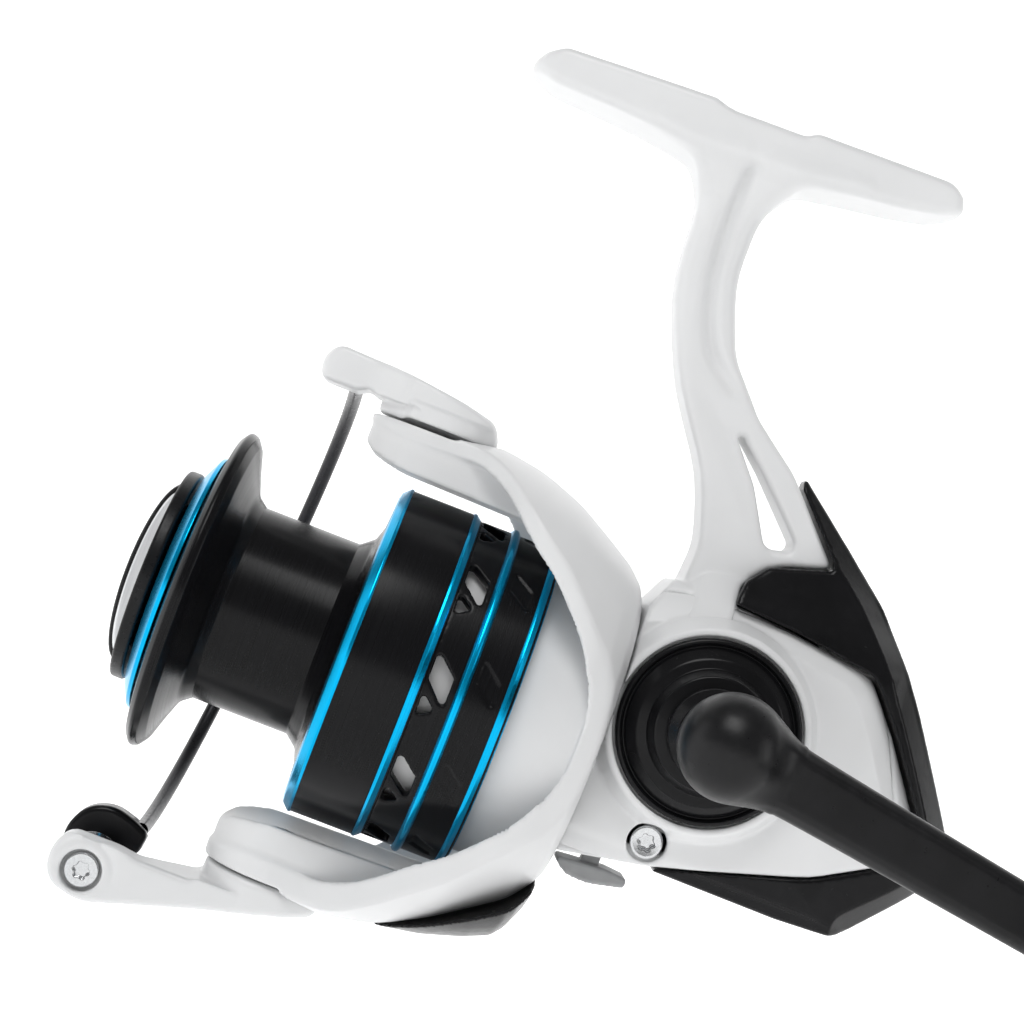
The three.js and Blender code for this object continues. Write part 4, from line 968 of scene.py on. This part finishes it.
def rotor_pieces():
    cup = skin("rotor_cup", rotor, (-65, -26, -40), (-13, 26, 38.5), 0.46)
    finish_piece(cup, "rotor_group", "white_paint", "rotor")
    cover = skin("rotor_black_cover", arm_cover, (-37, -26, -40), (-13, 26, -14), 0.34)
    finish_piece(cover, "rotor_group", "gloss_black", "rotor_arm_cover")
    retainer = [(-31.6, 7.2), (-31.6, 12.8, 0.4), (-30.3, 12.8, 0.2), (-30.3, 7.2)]
    finish_piece(lathe("clutch_ring", retainer), "body", "satin_black", "clutch_retainer")
    for node, top in HINGE_SCREW_TOPS.items():
        facing = 1 if top > 0 else -1
        place_screw(f"{node}_head", "rotor_group", node, HINGE_SCREW, np.array([BAIL_X, 0, top]), 2, facing)


# ---- bail
ROLLER = (-77.8, -44)
ROLLER_SCREW = Screw(2.6, 1.1, 1.15, 1.6, 13.3)
WIRE_RADIUS = 1.15
WIRE_LOW = (-72.7, -37.6)
WIRE_HIGH = (-66.9, 38.6)
BAIL_SIDE = Outline(rounded([
    (-43, -36.4, 0.4), (-61.9, -36.4, 0.5), (-62.2, -39.4, 1.0), (-71, -39.4, 6), (-75.6, -37.4, 6),
    (-80.6, -37.4, 6), (-83.5, -42.4, 6), (-82.2, -47.2, 6),
    (-76.5, -48.4, 7), (-60, -43.3, 20), (-50, -40.6, 20),
    (-43, -39.2, 1.5),
]), 0.15)
BAIL_REACH = Outline(rounded([
    (-52.4, -9.4, 4), (-66, -8.9, 20), (-84, -8.8), (-84, -4.4),
    (-72, -4.4, 5), (-66, 1, 8), (-60, 7.2, 6), (-52.4, 9.4, 4),
]), 0.15)
LEVER_SIDE = Outline(rounded([
    (-62.4, 35, 0.5), (-43, 35, 0.3), (-43, 37, 1), (-44.6, 39.4, 2.5), (-50, 40.4, 14), (-62, 42, 20),
    (-70.6, 42.4, 2.4), (-72.9, 40, 3), (-71.8, 36.6, 1.8), (-66, 36.6, 0.6), (-63.6, 37.8, 1.5),
]), 0.15)
LEVER_REACH = Outline(rounded([
    (-54, -9.2, 4), (-59, -8.4, 6), (-64, -3.6, 6), (-72.8, -2.2, 3),
    (-72.8, 6.6, 3), (-64, 6.8, 6), (-59, 8.4, 6),
    (-54, 9.2, 4),
]), 0.15)
HOLDER_SIDE = Outline(rounded([
    (-71.6, -40.4, 1.2), (-71.2, -37.4, 1.4), (-74, -36.2, 4),
    (-77.5, -35.2, 8), (-81.6, -36.6, 6), (-83.6, -41, 6),
    (-82, -47.4, 6), (-76, -48.4, 6), (-73.4, -43.4, 5),
]), 0.15)


def bail_arm(x, y, z):
    pivot = from_hinge(x, y) - BAIL_ROUND
    reach = either(both(BAIL_REACH(x, y), z + 39.0, 0.2), pivot, 0.5)
    away = np.hypot(x - ROLLER[0], z - ROLLER[1])
    crease = 0.2 * np.exp(-(((away - 4.7) / 0.45) ** 2)) * soft_step(z - ROLLER[1] - 0.5, 3) * (y < -6)
    whole = both(BAIL_SIDE(x, z), reach, 1.1) + crease
    whole = without(whole, both(away - 3.15, y + 6.6), 0.35)
    whole = without(whole, both(away - 1.9, y + 1), 0.1)
    whole = without(whole, both(from_hinge(x, y) - 3.3, z + 39.3), 0.3)
    return without(whole, both(from_hinge(x, y) - 1.8, z + 30), 0.1)


def wire_path(steps=72):
    """The wire bows round the far side of the spool, from the holder up to the upper lever."""
    t = np.linspace(0, 1, steps)
    angle = math.pi * (t - 0.5)
    rise = np.sin(angle)
    (low_x, low), (high_x, high) = WIRE_LOW, WIRE_HIGH
    x = (low_x + high_x) / 2 + (high_x - low_x) / 2 * rise
    y = 5.4 + 44.6 * np.maximum(np.cos(angle), 0) ** 0.9
    z = (low + high) / 2 + (high - low) / 2 * rise
    return np.stack([x, y, z], 1)


def bail_lever(x, y, z):
    pivot = from_hinge(x, y) - BAIL_ROUND
    reach = either(both(LEVER_REACH(x, y), np.minimum(37.1 - z, x + 64), 0.2), pivot, 0.5)
    recess = 0.55 * soft_step(38.2 - z, 0.5) * soft_step(x + 57.5, 1.0) * soft_step(-5 - y, 2)
    whole = both(LEVER_SIDE(x, z), reach, 0.9) + recess
    whole = without(whole, both(from_hinge(x, y) - 3.3, 38.6 - z), 0.3)
    socket = both(np.hypot(x - WIRE_HIGH[0], z - WIRE_HIGH[1]) - WIRE_RADIUS - 0.1, 5.2 - y)
    return without(whole, socket, 0.1)


def wire_holder(x, y, z):
    whole = prism(HOLDER_SIDE(x, z), y, 3.1, 7.6, 0.9)
    away = np.hypot(x - ROLLER[0], z - ROLLER[1])
    whole = without(whole, both(away - 1.9, y - 6.4), 0.1)
    socket = both(np.hypot(x - WIRE_LOW[0], z - WIRE_LOW[1]) - WIRE_RADIUS - 0.1, 5.2 - y)
    return without(whole, socket, 0.1)


def bail_pieces():
    arm = skin("bail_arm_casting", bail_arm, (-86, -12, -52), (-41, 12, -35), 0.3)
    finish_piece(arm, "bail", "white_paint", "bail_arm")
    lever = skin("bail_top_lever", bail_lever, (-75, -12, 33), (-41, 12, 44), 0.3)
    finish_piece(lever, "bail", "white_paint", "bail_lever")
    holder = skin("bail_wire_holder", wire_holder, (-86, 2, -50), (-69, 9, -33), 0.24)
    finish_piece(holder, "bail", "gloss_black", "wire_holder")
    wire = tube("bail_wire_bow", wire_path(), WIRE_RADIUS, 24)
    finish_piece(wire, "bail", "dark_wire", "bail_wire")
    screw_at = np.array([ROLLER[0], -7.9, ROLLER[1]])
    place_screw("roller_screw_head", "bail", "roller_screw", ROLLER_SCREW, screw_at, 1, -1)
    roller = lathe("line_roller_wheel", [
        (-4, 2.45), (-4, 4.6, 0.3), (-3.3, 4.6, 0.3), (-2.4, 3.6, 1.2),
        (0.2, 3.1, 1.6), (1.5, 4.5, 0.5), (2.6, 4.6, 0.3),
        (2.6, 2.45),
    ], "Y", ROLLER, 96)
    finish_piece(roller, "roller", "bright_steel", "line_roller")


# ---- spool, profiles in (x, radius)
SPOOL_FRONT = [
    (-57, 2.3), (-66, 2.3), (-66, 13), (-79.8, 13, 0.2),
    (-79.8, 20.3, 0.2), (-79.6, 21.6, 0.4), (-79.2, 23.9, 0.6),
    (-78.3, 25.2, 0.7), (-77.2, 24.8, 0.6), (-76.2, 23.4, 1),
    (-75.0, 19.6, 3), (-73.9, 16.6, 2), (-72.6, 15.6, 1),
    (-72.2, 15.3, 0.2), (-57.2, 15.3, 0.2), (-56.8, 15.6, 1),
    (-55.2, 16.9, 1.2), (-54.5, 19, 1.5), (-54.05, 24.3, 0.4),
    (-52.6, 25.75, 0.3), (-42.75, 25.75, 0.15), (-42.7, 25.2), (-41.3, 25.2),
    (-41.3, 23.6), (-52.3, 23.6), (-52.3, 12.8),
    (-61.5, 12.8), (-61.5, 6.4), (-57, 6.4),
]
PORT_COUNT = 10
SKIRT_RADIUS = 25.1
PORT = Outline(rounded([(-40.8, 0.6, 0.5), (-40.8, 5.0, 0.5), (-37.4, 1.8, 0.5), (-37.4, -3.0, 0.5)]), 0.05)
SMALL_PORT = Outline(rounded([(-40.8, -1.4, 0.4), (-38.5, -3.5, 0.4), (-40.8, -5.0, 0.4)]), 0.05)
REAR_PORT = Outline(rounded([
    (-34.3, 2.2, 0.4), (-34.3, 6.2, 0.4), (-30.9, 3.2, 0.4), (-30.9, -0.6, 0.4),
]), 0.05)


def skirt(x, y, z):
    """The rear of the spool's skirt, with a row of slanting ports."""
    away = np.hypot(y, z)
    wall = both(between(away, 23.6, 25.15), between(x, -41.35, -28.4), 0.2)
    turn = 2 * math.pi / PORT_COUNT
    angle = np.arctan2(z, -y) - math.radians(2)
    arc = (np.mod(angle + turn / 2, turn) - turn / 2) * SKIRT_RADIUS
    ports = np.minimum(PORT(x, arc), SMALL_PORT(x, arc))
    dents = both(REAR_PORT(x, arc), 24.85 - away)
    return without(wall, np.minimum(both(ports, 20 - away), dents), 0.2)


BLUE_RINGS = {
    "skirt_ring_front": [
        (-54.15, 24.1, 0.1), (-53.9, 24.9, 0.4), (-52.8, 25.95, 0.3), (-52.4, 25.9, 0.1), (-52.4, 24.4),
        (-54.0, 23.8),
    ],
    "skirt_ring_step": [
        (-42.75, 24.6), (-42.75, 25.85, 0.15), (-42.3, 25.95, 0.3), (-41.5, 25.3, 0.2), (-41.35, 24.6),
    ],
    "skirt_ring_bead": [
        (-36.5, 24.7), (-36.5, 25.3, 0.1), (-36.1, 25.85, 0.45), (-35.5, 25.85, 0.45), (-35.1, 25.3, 0.1),
        (-35.1, 24.7),
    ],
    "skirt_ring_rear": [
        (-29.9, 24.6), (-29.9, 25.4, 0.15), (-29.4, 25.6, 0.3), (-28.3, 24.8, 0.2), (-28.2, 24.0, 0.1),
        (-28.3, 23.7), (-29.0, 23.7),
    ],
}


def spool_pieces():
    front = lathe("spool_front", SPOOL_FRONT, "X", sides=192)
    finish_piece(front, "spool", "black_anodised", "spool_body")
    rear = skin("spool_skirt", skirt, (-42.5, -26.5, -26.5), (-27, 26.5, 26.5), 0.34)
    finish_piece(rear, "spool", "black_anodised")
    for name, profile in BLUE_RINGS.items():
        finish_piece(lathe(name, profile, sides=192), "spool", "blue_anodised")
    lip = lathe("spool_lip_ring", [
        (-80.1, 14.2), (-80.1, 20.15, 0.15), (-80.8, 19.9, 0.3), (-82.1, 17.2, 0.4), (-82.2, 14.2),
    ], "X", sides=192)
    finish_piece(lip, "spool", "blue_anodised", "lip_ring")


# ---- drag knob
KNOB_BAND = -84.9
KNOB_NOSE = -88.5
KNOB_DOME = 14.3


def dome(x, y, z, inset):
    """The rounded nose of the drag knob, as an ellipsoid ahead of its band."""
    depth = KNOB_BAND - KNOB_NOSE - inset
    wide = KNOB_DOME - inset
    ahead = np.minimum(x - KNOB_BAND, 0) / depth
    spread = np.hypot(y, z) / wide
    reach = np.sqrt(ahead**2 + spread**2)
    steep = np.sqrt((ahead / depth) ** 2 + (spread / wide) ** 2) / np.maximum(reach, 1e-3)
    return (reach - 1) / np.maximum(steep, 1e-3)


def drag_knob(x, y, z):
    away = np.hypot(y, z)
    band = both(away - 16.5, between(x, KNOB_BAND, -82.75), 0.5)
    fin = both(both(dome(x, y, z, 0.0), np.abs(y) - 3.7 - 0.15 * np.maximum(x + 88, 0), 0.6), x + 84, 0.1)
    sleeve = both(away - 11.4, between(x, -84, -78.6), 0.2)
    sleeve = without(sleeve, both(away - 7, -x - 83.2), 0.1)
    whole = either(either(band, fin, 0.35), sleeve, 0.1)
    return without(whole, both(away - 2.3, -86.7 - x), 0.1)


def knob_inlay(side):
    def field(x, y, z):
        depth = y * side
        plate = both(dome(x, y, z, 0.75), between(depth, 4.0, 5.1), 0.25)
        hollow = 0.15 * np.maximum(1 - ((x + 85.6) / 2.2) ** 2, 0) * (depth > 4.6)
        return both(plate + hollow, x + 85.05, 0.15)
    return field


def knob_pieces():
    knob = skin("drag_knob_body", drag_knob, (-89.5, -17.5, -17.5), (-78, 17.5, 17.5), 0.26)
    finish_piece(knob, "drag", "satin_black", "drag_knob")
    for side, node in ((-1, "knob_inlay_near"), (1, "knob_inlay_far")):
        low, high = sorted((side * 3.5, side * 6))
        plate = skin(f"{node}_plate", knob_inlay(side), (-89, low, -16.5), (-84.5, high, 16.5), 0.2)
        finish_piece(plate, "drag", "silver_trim", node)


body_pieces()
small_body_pieces()
crank_pieces()
rotor_pieces()
bail_pieces()
spool_pieces()
knob_pieces()

# ---- camera, floor and light
VIEW_ROLL = math.radians(21.2)
CAMERA_AT = Vector((-0.006, -0.345, -0.0775))
CAMERA_AIM = Vector((0.0055, 0.0, -0.0683))
LENS = 80.0
FLOOR_REACH = 3.0
FLOOR_BACK = 0.7


def place_camera():
    data = bpy.data.cameras.new("camera")
    data.lens, data.sensor_width = LENS, 36.0
    data.clip_start, data.clip_end = 0.01, 20
    camera = bpy.data.objects.new("camera", data)
    bpy.context.scene.collection.objects.link(camera)
    back = (CAMERA_AT - CAMERA_AIM).normalized()
    up = Vector((-math.sin(VIEW_ROLL), 0, math.cos(VIEW_ROLL)))
    right = up.cross(back).normalized()
    up = back.cross(right)
    camera.matrix_world = Matrix.Translation(CAMERA_AT) @ Matrix((right, up, back)).transposed().to_4x4()
    bpy.context.scene.camera = camera


def place_floor():
    """A pale sheet that curves up behind the reel."""
    floor_z = CAD_BOUNDS[0].z - 0.002
    bend = 0.5
    side = [(-FLOOR_REACH, floor_z), (FLOOR_BACK, floor_z)]
    for a in np.linspace(0.1, math.pi / 2, 12):
        side.append((FLOOR_BACK + bend * math.sin(a), floor_z + bend - bend * math.cos(a)))
    side.append((FLOOR_BACK + bend, FLOOR_REACH))
    points = [(x, y, z) for x in (-FLOOR_REACH, FLOOR_REACH) for y, z in side]
    count = len(side)
    faces = [(i, i + 1, count + i + 1, count + i) for i in range(count - 1)]
    mesh = bpy.data.meshes.new("floor")
    mesh.from_pydata(points, [], faces)
    mesh.shade_smooth()
    floor = bpy.data.objects.new("floor", mesh)
    bpy.context.scene.collection.objects.link(floor)
    m = Shader("floor_paper", (0.92, 0.92, 0.92), roughness=0.9)
    m.base.inputs["Emission Color"].default_value = (1, 1, 1, 1)
    m.base.inputs["Emission Strength"].default_value = 0.6
    mesh.materials.append(m.material)


def area_light(name, at, aim, size, power, color=(1, 1, 1)):
    data = bpy.data.lights.new(name, "AREA")
    data.shape, data.size, data.size_y = "RECTANGLE", *size
    data.energy, data.color = power, color
    light = bpy.data.objects.new(name, data)
    light.location = at
    light.rotation_mode = "QUATERNION"
    light.rotation_quaternion = (Vector(aim) - Vector(at)).to_track_quat("-Z", "Y")
    bpy.context.scene.collection.objects.link(light)


def place_lights():
    centre = (-0.01, 0, -0.09)
    area_light("key", (-0.65, -1.3, 1.65), centre, (1.2, 1.0), 22)
    area_light("side", (0.8, -0.4, 0.1), centre, (0.3, 0.6), 1.1)
    area_light("left", (-0.9, -0.1, 0.05), centre, (0.4, 0.6), 0.8)
    world = bpy.data.worlds.new("studio")
    world.use_nodes = True
    world.node_tree.nodes["Background"].inputs["Color"].default_value = (1, 1, 1, 1)
    world.node_tree.nodes["Background"].inputs["Strength"].default_value = 0.27
    bpy.context.scene.world = world


place_camera()
place_floor()
place_lights()
bpy.context.scene.view_settings.view_transform = "Standard"
